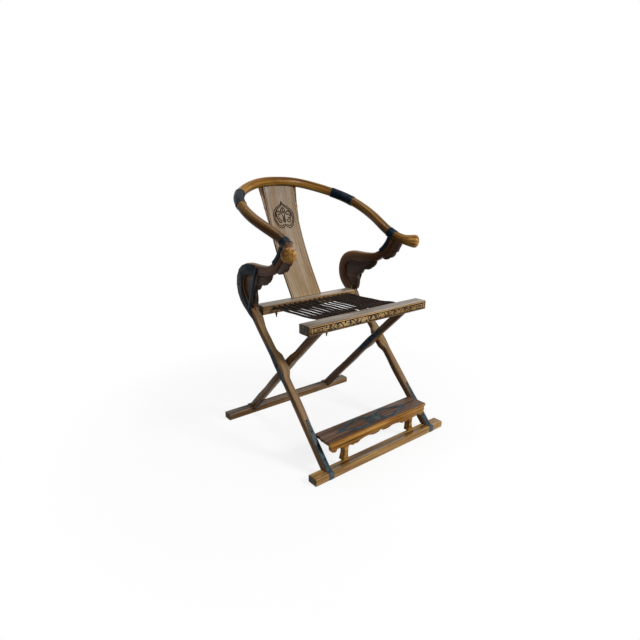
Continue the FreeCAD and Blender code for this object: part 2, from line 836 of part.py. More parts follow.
# Strap down the face of a leg, over the foot rail and down the rail's outer face, narrowed at its top
def make_foot_strap(foot, lean, middle_x, leg_width):
    outward = -1 if foot.y < 0 else 1
    face = leg_width / 2 * math.sqrt(1 + lean ** 2) + seat_gap
    top = foot_rail_height + foot_strap_height
    over = foot_rail_height + seat_gap
    rim = foot.y + outward * (foot_rail_width / 2 + seat_gap)

    def on_face(z):
        return foot.y + lean * (z - foot.z) + outward * face

    path = [(on_face(top), top), (on_face(over), over), (rim, over), (rim, foot_rail_height * 0.1)]
    if outward > 0:
        path = path[::-1]
    half = foot_strap_width / 2
    tip = foot_strap_tip / 2
    shoulder = top - foot_strap_taper
    outline = [(-half, 0), (half, 0), (half, shoulder), (tip, top), (-tip, top), (-half, shoulder)]
    seen = flat_face([Vector(middle_x + x, -far, z) for x, z in outline]).extrude(y_axis * (2 * far))
    return bent_strip(path, middle_x - half, middle_x + half).common(seen)


# Six-sided rose head
def nail(place, direction):
    side = direction.cross(Vector(0.3, 0.5, 0.8)).normalize()
    top = direction.cross(side)
    rim = even_ring(place, side, top, nail_radius, 6)
    crown = even_ring(place + direction * nail_height, side, top, nail_radius * 0.5, 6)
    return skin([rim, crown])


# Nails down the face of a foot strap
def foot_strap_nails(foot, lean, middle_x, leg_width):
    outward = -1 if foot.y < 0 else 1
    facing = Vector(0, 1, -lean).normalize() * outward
    heads = []
    for share in (0.15, 0.42, 0.69, 0.92):
        z = foot_rail_height + foot_strap_height * share
        centre = Vector(middle_x, foot.y + lean * (z - foot.z), z)
        heads.append(nail(centre + facing * (leg_width / 2 + seat_gap + iron_thickness), facing))
    return heads


def plate_nails(foot, face_x, outward):
    along = (pivot - foot).normalize() * (pivot_plate_length / 2)
    base = Vector(face_x + outward * (seat_gap + iron_thickness), pivot.y, pivot.z)
    return [nail(base + along * share, x_axis * outward) for share in (-0.72, -0.38, 0.38, 0.72)]


def gooseneck_nails():
    x = outer_leg_outside + seat_gap + iron_thickness
    heads = []
    for mark in outer_leg.marks[seat_station + 1:neck_top]:
        centre, top, width, swell = outer_leg.frame(mark)
        heads.append(nail(Vector(x, centre.y, centre.z) - top * (width * 0.1), x_axis))
    return heads


# One run of cord: up through a hole of the front rail, across, and down through the rear rail
def cord_run(x_front, x_rear, lift):
    mitre = math.tan(math.pi / 8)
    front_deep = front_mouth.z - front_rail_under - cord_radius
    rear_deep = rear_mouth.z - rear_rail_under - cord_radius
    start = front_mouth + Vector(x_front, -lift * mitre, lift)
    stop = rear_mouth + Vector(x_rear, lift * mitre, lift)
    low_front = start - Vector(0, front_deep, front_deep)
    low_rear = stop + Vector(0, rear_deep, -rear_deep)
    path = Part.makePolygon([low_front, start, stop, low_rear])
    flat = Vector(0, 1, 1).normalize().cross(x_axis)
    ring = even_ring(low_front, x_axis, flat, cord_radius, 6)
    return Part.Wire(path).makePipeShell([Part.makePolygon(ring + ring[:1])], True, False, 1)


# Three runs share each hole: two straight above, and one below that slants to the next hole
def make_cords():
    places = lacing_places()
    runs = [cord_run(a, b, -cord_spacing) for a, b in zip(places, places[1:])]
    for side in (-cord_spacing, cord_spacing):
        runs += [cord_run(x + side, x + side, cord_spacing) for x in places]
    return Part.Compound(runs)


# Stitches of the lacing along the underside of a seat rail, and the knot that ends them
def make_stitches(mouth, inward, knot_x):
    underside = front_rail_under if inward < 0 else rear_rail_under
    y = mouth.y + inward * (mouth.z - underside)
    z = underside - seat_gap - cord_radius
    bars = []
    for a, b in zip(lacing_places(), lacing_places()[1:]):
        ring = even_ring(Vector(a + cord_radius, y, z), y_axis, z_axis, cord_radius, 6)
        bars.append(flat_face(ring).extrude(x_axis * (b - a - 2 * cord_radius)))
    rings = []
    for share, radius in ((0.0, 0.5), (0.3, 1.0), (0.7, 0.9), (1.0, 0.4)):
        centre = Vector(knot_x, y, z - cord_radius - seat_gap - knot_height * share)
        rings.append(even_ring(centre, x_axis, y_axis, knot_radius * radius, 6))
    return Part.Compound(bars + [skin(rings)])


# Pin half in the outer leg and half in the footrest board
def footrest_pin(grow):
    reach = footrest_pin_reach + grow
    start = Vector(outer_leg_inside - reach, footrest_pin_y, footrest_pin_z)
    return Part.makeCylinder(footrest_pin_radius + grow, 2 * reach, start, x_axis)


# Board as wide as the legs in front, with a tongue between them behind
def make_footrest_board():
    half = footrest_length / 2
    tongue = outer_leg_inside - turning_gap
    outline = [(-half, footrest_front_y), (half, footrest_front_y), (half, footrest_notch_y),
               (tongue, footrest_notch_y), (tongue, footrest_rear_y), (-tongue, footrest_rear_y),
               (-tongue, footrest_notch_y), (-half, footrest_notch_y)]
    corners = [Vector(x, y, footrest_under) for x, y in outline]
    board = flat_face(corners).extrude(z_axis * footrest_thickness)
    hole = footrest_pin(pin_clearance)
    return board.cut(hole).cut(mirrored(hole))


# Apron with a cusped lower edge: half of it is drawn and then mirrored
def make_apron():
    half = footrest_length / 2 - apron_inset
    shares = [(0, 0.62), (0.077, 0.86), (0.237, 0.72), (0.43, 0.86), (0.53, 1.0), (0.61, 0.92), (0.79, 0.92),
              (0.874, 0.80), (0.935, 1.0), (1.0, 0.35), (1.0, 0.0), (0.0, 0.0), (0.0, 0.62)]
    bulges = [-2.0, -3.0, 2.0, -4.0, -4.0, 0, 3.0, -5.0, -5.0, 0, 0, 0]
    corners = []
    for x, drop in shares:
        corners.append(Vector(half * x, footrest_front_y, footrest_under - apron_height * drop))
    side = Part.Face(Part.Wire(lobes(corners, bulges, y_axis * -1))).extrude(y_axis * apron_thickness)
    return side.fuse(mirrored(side)).removeSplitter()


# Cabriole foot: wide at the knee behind the apron, waisted, with a small toe on the foot rail
def make_footrest_foot(apron):
    high = footrest_under - foot_rail_height
    y0 = footrest_front_y + apron_inset / 3
    y1 = y0 + footrest_foot_depth
    profile = [(0.0, 0.76), (0.08, 0.68), (0.20, 0.54), (0.35, 0.47), (0.50, 0.52), (0.64, 0.66),
               (0.82, 0.88), (1.0, 1.0)]
    rings = []
    for share, wide in profile:
        z = foot_rail_height + high * share
        half = footrest_foot_half_width * wide
        x = footrest_foot_x - footrest_foot_bow * math.sin(math.pi * share)
        rings.append([Vector(x - half, y0, z), Vector(x + half, y0, z),
                      Vector(x + half, y1, z), Vector(x - half, y1, z)])
    return max(skin(rings).cut(apron).Solids, key=lambda part: part.Volume)


def diamond(x, half_x, half_y):
    y = (footrest_front_y + footrest_rear_y) / 2
    turns = ((-1, 0), (0, -1), (1, 0), (0, 1))
    corners = [Vector(x + half_x * a, y + half_y * b, footrest_top) for a, b in turns]
    return flat_face(corners).extrude(z_axis * inlay_thickness)


# Iron inlay of two interlocked lozenges
def make_inlay():
    half_y = footrest_depth / 2 - inlay_margin
    half_x = inlay_half_length * 0.64
    steep = math.hypot(half_x, half_y)
    in_x = half_x - inlay_band * steep / half_y
    in_y = half_y - inlay_band * steep / half_x
    rings = []
    for x in (-inlay_half_length * 0.36, inlay_half_length * 0.36):
        rings.append(diamond(x, half_x, half_y).cut(diamond(x, in_x, in_y)))
    return rings[0].fuse(rings[1]).removeSplitter()


leg = make_outer_leg()
arm = make_crest_arm()
crest = make_crest_middle()
apron = make_apron()
plate = make_gooseneck_plate()

export_pair("outer_leg", leg)
export_pair("inner_leg", make_inner_leg())
export("front_foot_rail", make_foot_rail(outer_foot, outer_lean, outer_leg_x))
export("rear_foot_rail", make_foot_rail(inner_foot, inner_lean, inner_leg_x))
export("front_seat_rail", make_front_rail())
export("rear_seat_rail", make_rear_rail())
export("crest_rail_middle", crest)
export_pair("crest_arm", arm)
export_both("crest_sleeves", [crest_ring(scarf_from_middle, sleeve_length)])
export("back_splat", make_splat(whole_crest_back))
export_pair("splat_spandrel", make_spandrel(whole_crest_back))
export_pair("gooseneck_bracket", make_gooseneck_bracket(leg))
export_pair("arm_bracket", make_arm_bracket(leg, whole_arm))
export_pair("gooseneck_plate", plate)
export_pair("gooseneck_brace", make_brace(plate))
export_both("arm_collars", [make_arm_collar(leg)])
export_both("outer_pivot_plates", [make_pivot_plate(outer_foot, outer_leg_outside, 1)])
export_both("inner_pivot_plates", [make_pivot_plate(inner_foot, inner_leg_inside, -1)])
export_both("pivot_pins", [make_pivot_pin()])
export_both("pivot_washers", [make_pivot_washer()])
export_pair("front_foot_strap", make_foot_strap(outer_foot, outer_lean, outer_leg_x, outer_leg_width))
export_pair("rear_foot_strap", make_foot_strap(inner_foot, inner_lean, inner_leg_x, inner_leg_width))
export_both("outer_strap_nails", foot_strap_nails(outer_foot, outer_lean, outer_leg_x, outer_leg_width))
export_both("outer_plate_nails", plate_nails(outer_foot, outer_leg_outside, 1))
export_both("gooseneck_nails", gooseneck_nails())
export_both("inner_strap_nails", foot_strap_nails(inner_foot, inner_lean, inner_leg_x, inner_leg_width))
export_both("inner_plate_nails", plate_nails(inner_foot, inner_leg_inside, -1))
export("seat_cords", make_cords())
export("front_cord_stitches", make_stitches(front_mouth, -1, lacing_places()[0]))
export("rear_cord_stitches", make_stitches(rear_mouth, 1, lacing_places()[1]))
export("footrest_board", make_footrest_board())
export("footrest_apron", apron)
export_pair("footrest_foot", make_footrest_foot(apron))
export("footrest_inlay", make_inlay())
export_both("footrest_pins", [footrest_pin(0.0)])
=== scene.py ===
import json
import math

import bmesh
import bpy
import numpy as np
from mathutils import Matrix, Vector

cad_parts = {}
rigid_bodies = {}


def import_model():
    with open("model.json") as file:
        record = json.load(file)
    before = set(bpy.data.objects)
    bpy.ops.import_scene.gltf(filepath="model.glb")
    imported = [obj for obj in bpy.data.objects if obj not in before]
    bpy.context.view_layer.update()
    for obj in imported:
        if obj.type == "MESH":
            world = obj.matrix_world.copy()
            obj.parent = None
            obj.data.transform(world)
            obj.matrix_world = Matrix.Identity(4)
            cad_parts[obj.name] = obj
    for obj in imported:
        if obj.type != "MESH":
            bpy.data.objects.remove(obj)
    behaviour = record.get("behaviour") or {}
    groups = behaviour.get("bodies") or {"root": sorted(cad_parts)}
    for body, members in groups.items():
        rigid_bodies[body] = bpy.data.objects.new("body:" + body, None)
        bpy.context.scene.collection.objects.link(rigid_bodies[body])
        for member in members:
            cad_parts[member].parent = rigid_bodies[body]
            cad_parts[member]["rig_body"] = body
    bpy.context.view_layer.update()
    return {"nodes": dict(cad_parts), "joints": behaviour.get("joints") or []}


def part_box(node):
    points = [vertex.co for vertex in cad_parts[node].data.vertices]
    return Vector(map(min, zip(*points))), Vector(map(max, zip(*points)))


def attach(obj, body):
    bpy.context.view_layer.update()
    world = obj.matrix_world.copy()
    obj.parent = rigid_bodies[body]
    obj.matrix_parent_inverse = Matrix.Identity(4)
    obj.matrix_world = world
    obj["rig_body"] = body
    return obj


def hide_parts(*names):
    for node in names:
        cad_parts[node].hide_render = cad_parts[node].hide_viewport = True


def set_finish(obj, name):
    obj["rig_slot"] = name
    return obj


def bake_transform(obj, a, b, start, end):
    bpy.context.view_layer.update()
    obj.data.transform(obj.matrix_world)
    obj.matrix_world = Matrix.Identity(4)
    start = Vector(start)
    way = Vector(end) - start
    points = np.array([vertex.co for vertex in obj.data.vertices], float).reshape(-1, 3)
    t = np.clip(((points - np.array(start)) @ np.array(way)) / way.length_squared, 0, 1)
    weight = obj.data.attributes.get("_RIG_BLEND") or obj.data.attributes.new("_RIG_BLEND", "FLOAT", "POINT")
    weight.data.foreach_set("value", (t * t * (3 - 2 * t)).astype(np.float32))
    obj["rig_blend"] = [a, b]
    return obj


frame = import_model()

cadNodes = frame["nodes"]
pivot = Vector(next(j for j in frame["joints"] if j["name"] == "fold")["pos_m"])
xWay, yWay, zWay = Vector((1, 0, 0)), Vector((0, 1, 0)), Vector((0, 0, 1))
print("frame loaded:", len(cadNodes), "nodes")


# lines

def between(a, b, share):
    return a + (b - a) * share


def evenSteps(first, last, step):
    count = max(1, round((last - first) / step))
    return [between(first, last, k / count) for k in range(count + 1)]


# smooth line through given points, read back at even steps
def drawLine(points, steps=360):
    p = np.array([tuple(v) for v in points])
    t = np.concatenate([[0], np.cumsum(np.linalg.norm(np.diff(p, axis=0), axis=1))])
    h = np.diff(t)
    n = len(p)
    a = np.eye(n)
    b = np.zeros_like(p)
    for k in range(1, n - 1):
        a[k, k - 1:k + 2] = h[k - 1], 2 * (h[k - 1] + h[k]), h[k]
        b[k] = 6 * ((p[k + 1] - p[k]) / h[k] - (p[k] - p[k - 1]) / h[k - 1])
    m = np.linalg.solve(a, b)
    s = np.linspace(0, t[-1], steps)
    k = np.clip(np.searchsorted(t, s, side="right") - 1, 0, n - 2)
    u = (s - t[k])[:, None]
    w = (t[k + 1] - s)[:, None]
    d = h[k][:, None]
    curve = (m[k] * w ** 3 + m[k + 1] * u ** 3) / (6 * d)
    curve += (p[k] / d - m[k] * d / 6) * w + (p[k + 1] / d - m[k + 1] * d / 6) * u
    run = np.concatenate([[0], np.cumsum(np.linalg.norm(np.diff(curve, axis=0), axis=1))])
    return {"places": curve, "run": run, "length": run[-1], "marks": np.interp(t, s, run)}


def placeOn(line, distance):
    return Vector([np.interp(distance, line["run"], line["places"][:, k]) for k in range(3)])


def headingOn(line, distance):
    nearby = line["length"] / 300  # short enough to follow every bend
    ahead, behind = min(distance + nearby, line["length"]), max(distance - nearby, 0)
    return (placeOn(line, ahead) - placeOn(line, behind)).normalized()


# place with its own directions: side, top and the way ahead
def standing(centre, side, top, ahead):
    m = Matrix((side, top, ahead)).transposed().to_4x4()
    m.translation = centre
    return m


def middleOf(node):
    low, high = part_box(node)
    return (low + high) / 2


# meshes and sweeps

# empty mesh that keeps its grain: across, through and along
def freshMesh():
    bm = bmesh.new()
    bm.verts.layers.float_vector.new("grain")
    return bm


def vertsOf(geom):
    return [g for g in geom if isinstance(g, bmesh.types.BMVert)]


def everyPart(bm):
    return list(bm.verts) + list(bm.edges) + list(bm.faces)


def keenEdges(bm, angle, least=0.0):
    return [e for e in bm.edges if e.is_manifold and e.calc_length() > least
            and e.calc_face_angle(0) > math.radians(angle)]


def easeEdges(bm, edges, width, segments=2):
    bmesh.ops.bevel(bm, geom=edges, offset=width, segments=segments, profile=0.5, affect="EDGES",
                    clamp_overlap=True, material=-1)


def asMesh(bm, name):
    mesh = bpy.data.meshes.new(name)
    bm.to_mesh(mesh)
    bm.free()
    return mesh


# adds a finished part to a larger mesh
def pour(part, bm):
    mesh = asMesh(part, "part")
    bm.from_mesh(mesh)
    bpy.data.meshes.remove(mesh)


def roundRing(bm, radius, sides):
    return bmesh.ops.create_circle(bm, segments=sides, radius=radius)["verts"]


# rectangle of one metre with rounded corners, as an open ring
def squareRing(bm, corner, segments):
    made = bmesh.ops.create_grid(bm, x_segments=1, y_segments=1, size=0.5)["verts"]
    bmesh.ops.bevel(bm, geom=made, offset=corner, segments=segments, profile=0.5, affect="VERTICES",
                    material=-1)
    bmesh.ops.delete(bm, geom=list(bm.faces), context="FACES_ONLY")
    return list(bm.verts)


# carries a ring along stops of (place, width, height, distance), leaving its grain in the mesh
def sweepRing(bm, ring, stops, closed=True):
    grain = bm.verts.layers.float_vector["grain"]
    edges = list({e for v in ring for e in v.link_edges})
    first = list(edges)
    before = Matrix.Identity(4)
    for count, (place, width, height, distance) in enumerate(stops):
        now = place @ Matrix.Diagonal((width, height, 1, 1))
        if count:
            made = bmesh.ops.extrude_edge_only(bm, edges=edges)["geom"]
            ring = vertsOf(made)
            edges = [g for g in made if isinstance(g, bmesh.types.BMEdge)]
            edges = [e for e in edges if all(v in ring for v in e.verts)]
        bmesh.ops.transform(bm, matrix=now @ before.inverted(), verts=ring)
        back = place.inverted()
        for v in ring:
            local = back @ v.co
            v[grain] = (local.x, local.y, distance)
        before = now
    if closed:
        bmesh.ops.contextual_create(bm, geom=first)
        bmesh.ops.contextual_create(bm, geom=edges)


# round tube along a line; side is square to the line all the way
def tubeOn(line, side, radius, sides, pieces):
    bm = freshMesh()
    stops = []
    for d in evenSteps(0, line["length"], line["length"] / pieces):
        ahead = headingOn(line, d)
        stops.append((standing(placeOn(line, d), side, ahead.cross(side), ahead), 1, 1, d))
    sweepRing(bm, roundRing(bm, radius, sides), stops)
    return bm


# finishes

def nodeMaker(tree):
    tree.nodes.clear()

    def make(kind, sockets=None, **settings):
        node = tree.nodes.new(kind)
        for key, value in settings.items():
            setattr(node, key, value)
        for key, value in (sockets or {}).items():
            if isinstance(value, bpy.types.NodeSocket):
                tree.links.new(value, node.inputs[key])
            else:
                node.inputs[key].default_value = value
        return node

    return make


def shaderTree(name):
    material = bpy.data.materials.new(name)
    material.use_nodes = True
    return material, nodeMaker(material.node_tree)


def rgba(colour):
    return (*colour, 1) if isinstance(colour, tuple) and len(colour) == 3 else colour


def grey(v):
    return (v, v, v)


def ramp(make, value, stops):
    node = make("ShaderNodeValToRGB", {"Fac": value})
    row = node.color_ramp.elements
    while len(row) < len(stops):
        row.new(0.5)
    for element, (place, colour) in zip(row, stops):
        element.position = place
        element.color = rgba(colour)
    return node.outputs["Color"]


def greys(make, value, *stops):
    return ramp(make, value, [(place, grey(v)) for place, v in stops])


def mixed(make, share, a, b, blend="MIX"):
    node = make("ShaderNodeMix", {0: share, 6: rgba(a), 7: rgba(b)}, data_type="RGBA", blend_type=blend)
    return node.outputs[2]


def times(make, colour, tint, share=1.0):
    return mixed(make, share, colour, tint, "MULTIPLY")


def noise(make, vector, detail, scale=1.0, roughness=0.5, distortion=0.0):
    sockets = {"Vector": vector, "Scale": scale, "Detail": detail, "Roughness": roughness,
               "Distortion": distortion}
    return make("ShaderNodeTexNoise", sockets).outputs["Fac"]


def shareBetween(make, value, first, last, most=1.0):
    sockets = {"Value": value, "From Min": first, "From Max": last, "To Max": most}
    return make("ShaderNodeMapRange", sockets).outputs["Result"]


def maths(make, operation, a, b):
    return make("ShaderNodeMath", {0: a, 1: b}, operation=operation).outputs[0]


def attributeOf(make, name, output="Fac"):
    return make("ShaderNodeAttribute", attribute_name=name).outputs[output]


def objectPlace(make):
    return make("ShaderNodeTexCoord").outputs["Object"]


# lighter where the surface bends sharply: edge wear, and a painted highlight
def edgeWearAndHighlight(make, *stops):
    return greys(make, make("ShaderNodeNewGeometry").outputs["Pointiness"], *stops)


def bumped(make, height, strength, depth):
    sockets = {"Height": height, "Strength": strength, "Distance": depth}
    return make("ShaderNodeBump", sockets).outputs["Normal"]


def shaded(make, sockets):
    shader = make("ShaderNodeBsdfPrincipled", sockets).outputs["BSDF"]
    make("ShaderNodeOutputMaterial", {"Surface": shader})


# timber: cells of each pattern to a metre, across, through and along the grain
timber = {"streaks": (85, 85, 2.6), "clouds": (11, 11, 2.4), "rings": (42, 30, 1.3),
          "pores": (900, 900, 26), "checks": (170, 170, 3.2)}
timberTurns = {"x": (0, math.pi / 2, 0), "y": (math.pi / 2, 0, 0), "z": (0, 0, 0), "grain": (0, 0, 0)}
timberDefaults = {"figure": 0.14, "wearAndHighlight": (1.6, 1.5, 1.35), "bump": 0.17, "bumpDepth": 0.0007,
                  "coatRough": 0.14}


# tint that changes along the grain; on the crest rail and the arm knobs it is painted light and shade
def tintedAlongGrain(make, colour, source, first, last, low, high):
    run = make("ShaderNodeSeparateXYZ", {"Vector": source}).outputs["Z"]
    return times(make, colour, mixed(make, shareBetween(make, run, first, last), low, high))


# painted reflection: a grey sheen of the overhead light painted on what looks up, in patches
def paintedTopSheen(make, colour, streaks, lines, look):
    share = shareBetween(make, attributeOf(make, "sky"), *look["topSheenReach"])
    share = maths(make, "MULTIPLY", share, greys(make, streaks, (0.36, 0.25), (0.60, 1.0)))
    return mixed(make, share, colour, times(make, lines, look["paintedTopSheen"]))


# timber with streaks, rings, pores and checks; along is x, y, z or the mesh's own grain
def woodFinish(name, look, along, carved=False):
    material, make = shaderTree(name)
    look = {**timberDefaults, **look}
    source = attributeOf(make, "grain", "Vector") if along == "grain" else objectPlace(make)
    lie = make("ShaderNodeMapping", {"Vector": source, "Rotation": timberTurns[along]}).outputs["Vector"]
    at = {pattern: make("ShaderNodeMapping", {"Vector": lie, "Scale": cells}).outputs["Vector"]
          for pattern, cells in timber.items()}
    streaks = noise(make, at["streaks"], 7.0, roughness=0.62, distortion=0.4)
    clouds = noise(make, at["clouds"], 3.0, distortion=0.8)
    pores = noise(make, at["pores"], 2.0)
    checks = noise(make, at["checks"], 3.0, distortion=0.3)
    rings = make("ShaderNodeTexWave", {"Vector": at["rings"], "Scale": 1.0, "Distortion": 7.0,
                                       "Detail": 3.0, "Detail Scale": 1.4}, wave_type="BANDS").outputs["Fac"]
    low, high = 0.5 - look["figure"], 0.5 + look["figure"]
    colour = ramp(make, streaks, [(low, look["dark"]), (0.50, look["mid"]), (high, look["light"])])
    colour = times(make, colour, ramp(make, clouds, [(0.36, look["shade"]), (0.62, grey(1.0))]))
    lines = greys(make, rings, (0.0, look["rings"]), (0.45, 1.0))
    colour = times(make, colour, lines)
    colour = times(make, colour, greys(make, pores, (0.36, 0.55), (0.47, 1.0)), 0.7)
    colour = times(make, colour, greys(make, checks, (0.31, 0.30), (0.37, 1.0)), 0.85)
    if "tintAlongGrain" in look:
        colour = tintedAlongGrain(make, colour, source, *look["tintAlongGrain"])
    # painted reflection of the overhead light on faces that look up
    if "topSheenReach" in look:
        colour = paintedTopSheen(make, colour, streaks, lines, look)
    # carved grooves darkened by their depth: grime in the cuts, and painted shade
    if carved:
        grooveDirtAndShade = greys(make, attributeOf(make, "carve"), (0.15, 0.0), (0.70, 1.0))
        colour = mixed(make, grooveDirtAndShade, colour, look["cut"])
    # lighter edges: wear, and a painted highlight along them
    edge = edgeWearAndHighlight(make, (0.50, 0.0), (0.60, 1.0))
    colour = mixed(make, edge, colour, times(make, colour, look["wearAndHighlight"]))
    sheen = greys(make, clouds, (0.3, look["rough"] + 0.12), (0.7, look["rough"] - 0.04))
    bump = bumped(make, mixed(make, 0.5, streaks, pores), look["bump"], look["bumpDepth"])
    shaded(make, {"Base Color": colour, "Roughness": sheen, "Normal": bump,
                  "Specular IOR Level": look["gloss"], "Coat Weight": look["coat"],
                  "Coat Roughness": look["coatRough"]})
    return material


# hammered wrought iron, blue-black with grey rubbed places; on the lighter strap iron its paler colour and
# bright edges are partly painted highlight
def ironFinish(name, look):
    material, make = shaderTree(name)
    source = objectPlace(make)
    blotch = noise(make, source, 6.0, scale=38.0, roughness=0.65)
    rust = noise(make, source, 5.0, scale=85.0)
    fine = noise(make, source, 4.0, scale=620.0)
    hammer = make("ShaderNodeTexVoronoi", {"Vector": source, "Scale": 210.0, "Randomness": 0.9},
                  feature="SMOOTH_F1").outputs["Distance"]
    colour = ramp(make, blotch, [(0.30, look["dark"]), (0.52, look["mid"]), (0.74, look["light"])])
    colour = mixed(make, greys(make, rust, (0.60, 0.0), (0.78, 0.55)), colour, look["rust"])
    colour = mixed(make, edgeWearAndHighlight(make, (0.52, 0.0), (0.64, 0.8)), colour, look["rubbedAndGlint"])
    bump = bumped(make, mixed(make, 0.35, hammer, fine), 0.28, 0.0009)
    rough = greys(make, blotch, (0.3, 0.46), (0.7, 0.30))
    shaded(make, {"Base Color": colour, "Metallic": 0.1, "Roughness": rough, "Specular IOR Level": 0.04,
                  "Normal": bump})
    return material


# twisted hemp cord; its twist runs on the cord's own u and v
def cordFinish(name, look):
    material, make = shaderTree(name)
    lay = make("ShaderNodeUVMap", uv_map="twist").outputs["UV"]
    turns = (1, look["turnsPerMetre"], 1)
    slant = make("ShaderNodeMapping", {"Vector": lay, "Scale": turns}).outputs["Vector"]
    strand = make("ShaderNodeTexWave", {"Vector": slant, "Scale": 0.32, "Distortion": 0.6, "Detail": 1.0,
                                        "Detail Scale": 3.0},
                  wave_type="BANDS", bands_direction="DIAGONAL").outputs["Fac"]
    source = objectPlace(make)
    fuzz = noise(make, source, 4.0, scale=900.0)
    patch = noise(make, source, 3.0, scale=26.0)
    colour = ramp(make, strand, [(0.10, look["dark"]), (0.65, look["mid"]), (1.0, look["light"])])
    colour = times(make, colour, greys(make, patch, (0.3, 0.55), (0.7, 1.25)), 0.75)
    bump = bumped(make, mixed(make, 0.3, strand, fuzz), 0.7, 0.0008)
    shaded(make, {"Base Color": colour, "Roughness": 0.7, "Normal": bump, "Specular IOR Level": 0.08})
    return material


# honey crest: its tint along the grain paints light on the crest's -x half and shade on its +x half
honey = {"dark": (0.072, 0.024, 0.001), "mid": (0.270, 0.120, 0.012), "light": (0.47, 0.250, 0.042),
         "shade": (0.32, 0.22, 0.12), "rings": 0.74, "rough": 0.26, "gloss": 0.08, "coat": 0.06,
         "figure": 0.19, "tintAlongGrain": (-0.30, 0.30, (1.25, 1.30, 1.60), (0.70, 0.70, 0.78))}
# toffee arms: the tint along the grain paints a pale highlight on the knob ends, over a lighter golden tone
toffee = {"dark": (0.048, 0.016, 0.001), "mid": (0.175, 0.080, 0.008), "light": (0.35, 0.182, 0.026),
          "shade": (0.27, 0.19, 0.11), "rings": 0.74, "rough": 0.26, "gloss": 0.06, "coat": 0.03,
          "figure": 0.19, "tintAlongGrain": (0.70, 0.82, (1, 1, 1), (2.8, 3.1, 7.0))}
# umber outer legs: the grey top sheen is painted reflection; the tint along the grain turns darker and redder
# up the gooseneck
umber = {"dark": (0.062, 0.028, 0.008), "mid": (0.180, 0.094, 0.032), "light": (0.32, 0.195, 0.085),
         "shade": (0.40, 0.29, 0.19), "rings": 0.76, "rough": 0.32, "gloss": 0.10, "coat": 0.04,
         "figure": 0.18, "topSheenReach": (0.35, 0.72, 0.34), "paintedTopSheen": (0.34, 0.255, 0.150),
         "tintAlongGrain": (0.66, 0.74, (1, 1, 1), (0.92, 0.72, 0.56))}
russet = {"dark": (0.056, 0.024, 0.007), "mid": (0.190, 0.100, 0.038), "light": (0.330, 0.205, 0.092),
          "shade": (0.46, 0.36, 0.26), "rings": 0.68, "rough": 0.33, "gloss": 0.10, "coat": 0.04}
# walnut: the grey top sheen is painted reflection
walnut = {"dark": (0.020, 0.008, 0.004), "mid": (0.060, 0.031, 0.017), "light": (0.120, 0.072, 0.044),
          "shade": (0.46, 0.38, 0.33), "rings": 0.72, "rough": 0.36, "gloss": 0.09, "coat": 0.03,
          "figure": 0.20, "topSheenReach": (0.5, 0.9, 0.5), "paintedTopSheen": (0.22, 0.185, 0.150)}
# pewter seat rails: the grey top sheen is painted reflection
pewter = {"dark": (0.070, 0.038, 0.016), "mid": (0.185, 0.110, 0.050), "light": (0.31, 0.210, 0.110),
          "shade": (0.50, 0.41, 0.31), "rings": 0.78, "rough": 0.32, "gloss": 0.12, "coat": 0.05,
          "figure": 0.18, "topSheenReach": (0.55, 0.95, 0.85), "paintedTopSheen": (0.27, 0.252, 0.226)}
smoke = {"dark": (0.046, 0.038, 0.033), "mid": (0.104, 0.088, 0.075), "light": (0.195, 0.166, 0.142),
         "shade": (0.60, 0.55, 0.50), "rings": 0.5, "rough": 0.5, "gloss": 0.08, "coat": 0.0}
gilt = {"dark": (0.300, 0.185, 0.074), "mid": (0.52, 0.360, 0.168), "light": (0.67, 0.510, 0.285),
        "shade": (0.66, 0.55, 0.40), "rings": 0.80, "rough": 0.38, "gloss": 0.09, "coat": 0.03,
        "cut": (0.010, 0.006, 0.003)}
amber = {"dark": (0.165, 0.070, 0.010), "mid": (0.40, 0.205, 0.045), "light": (0.58, 0.350, 0.110),
         "shade": (0.56, 0.43, 0.28), "rings": 0.70, "rough": 0.36, "gloss": 0.08, "coat": 0.03}
# ochre foot rails: the strong edge lightening paints the highlight line along the top front edge, over some
# wear
ochre = {"dark": (0.100, 0.050, 0.013), "mid": (0.265, 0.160, 0.058), "light": (0.43, 0.290, 0.130),
         "shade": (0.58, 0.47, 0.34), "rings": 0.78, "rough": 0.26, "gloss": 0.12, "coat": 0.12,
         "figure": 0.20, "wearAndHighlight": (2.2, 2.1, 1.9)}
driftwood = {"dark": (0.200, 0.148, 0.104), "mid": (0.325, 0.264, 0.206), "light": (0.420, 0.356, 0.292),
             "shade": (0.78, 0.66, 0.50), "rings": 0.88, "rough": 0.44, "gloss": 0.08, "coat": 0.02,
             "figure": 0.26, "tintAlongGrain": (0.05, 0.36, (1.0, 0.93, 0.77), (1.08, 1.08, 1.10)),
             "cut": (0.016, 0.010, 0.007)}
plum = {"dark": (0.060, 0.034, 0.024), "mid": (0.130, 0.083, 0.060), "light": (0.200, 0.138, 0.104),
        "shade": (0.58, 0.49, 0.44), "rings": 0.76, "rough": 0.42, "gloss": 0.09, "coat": 0.02}

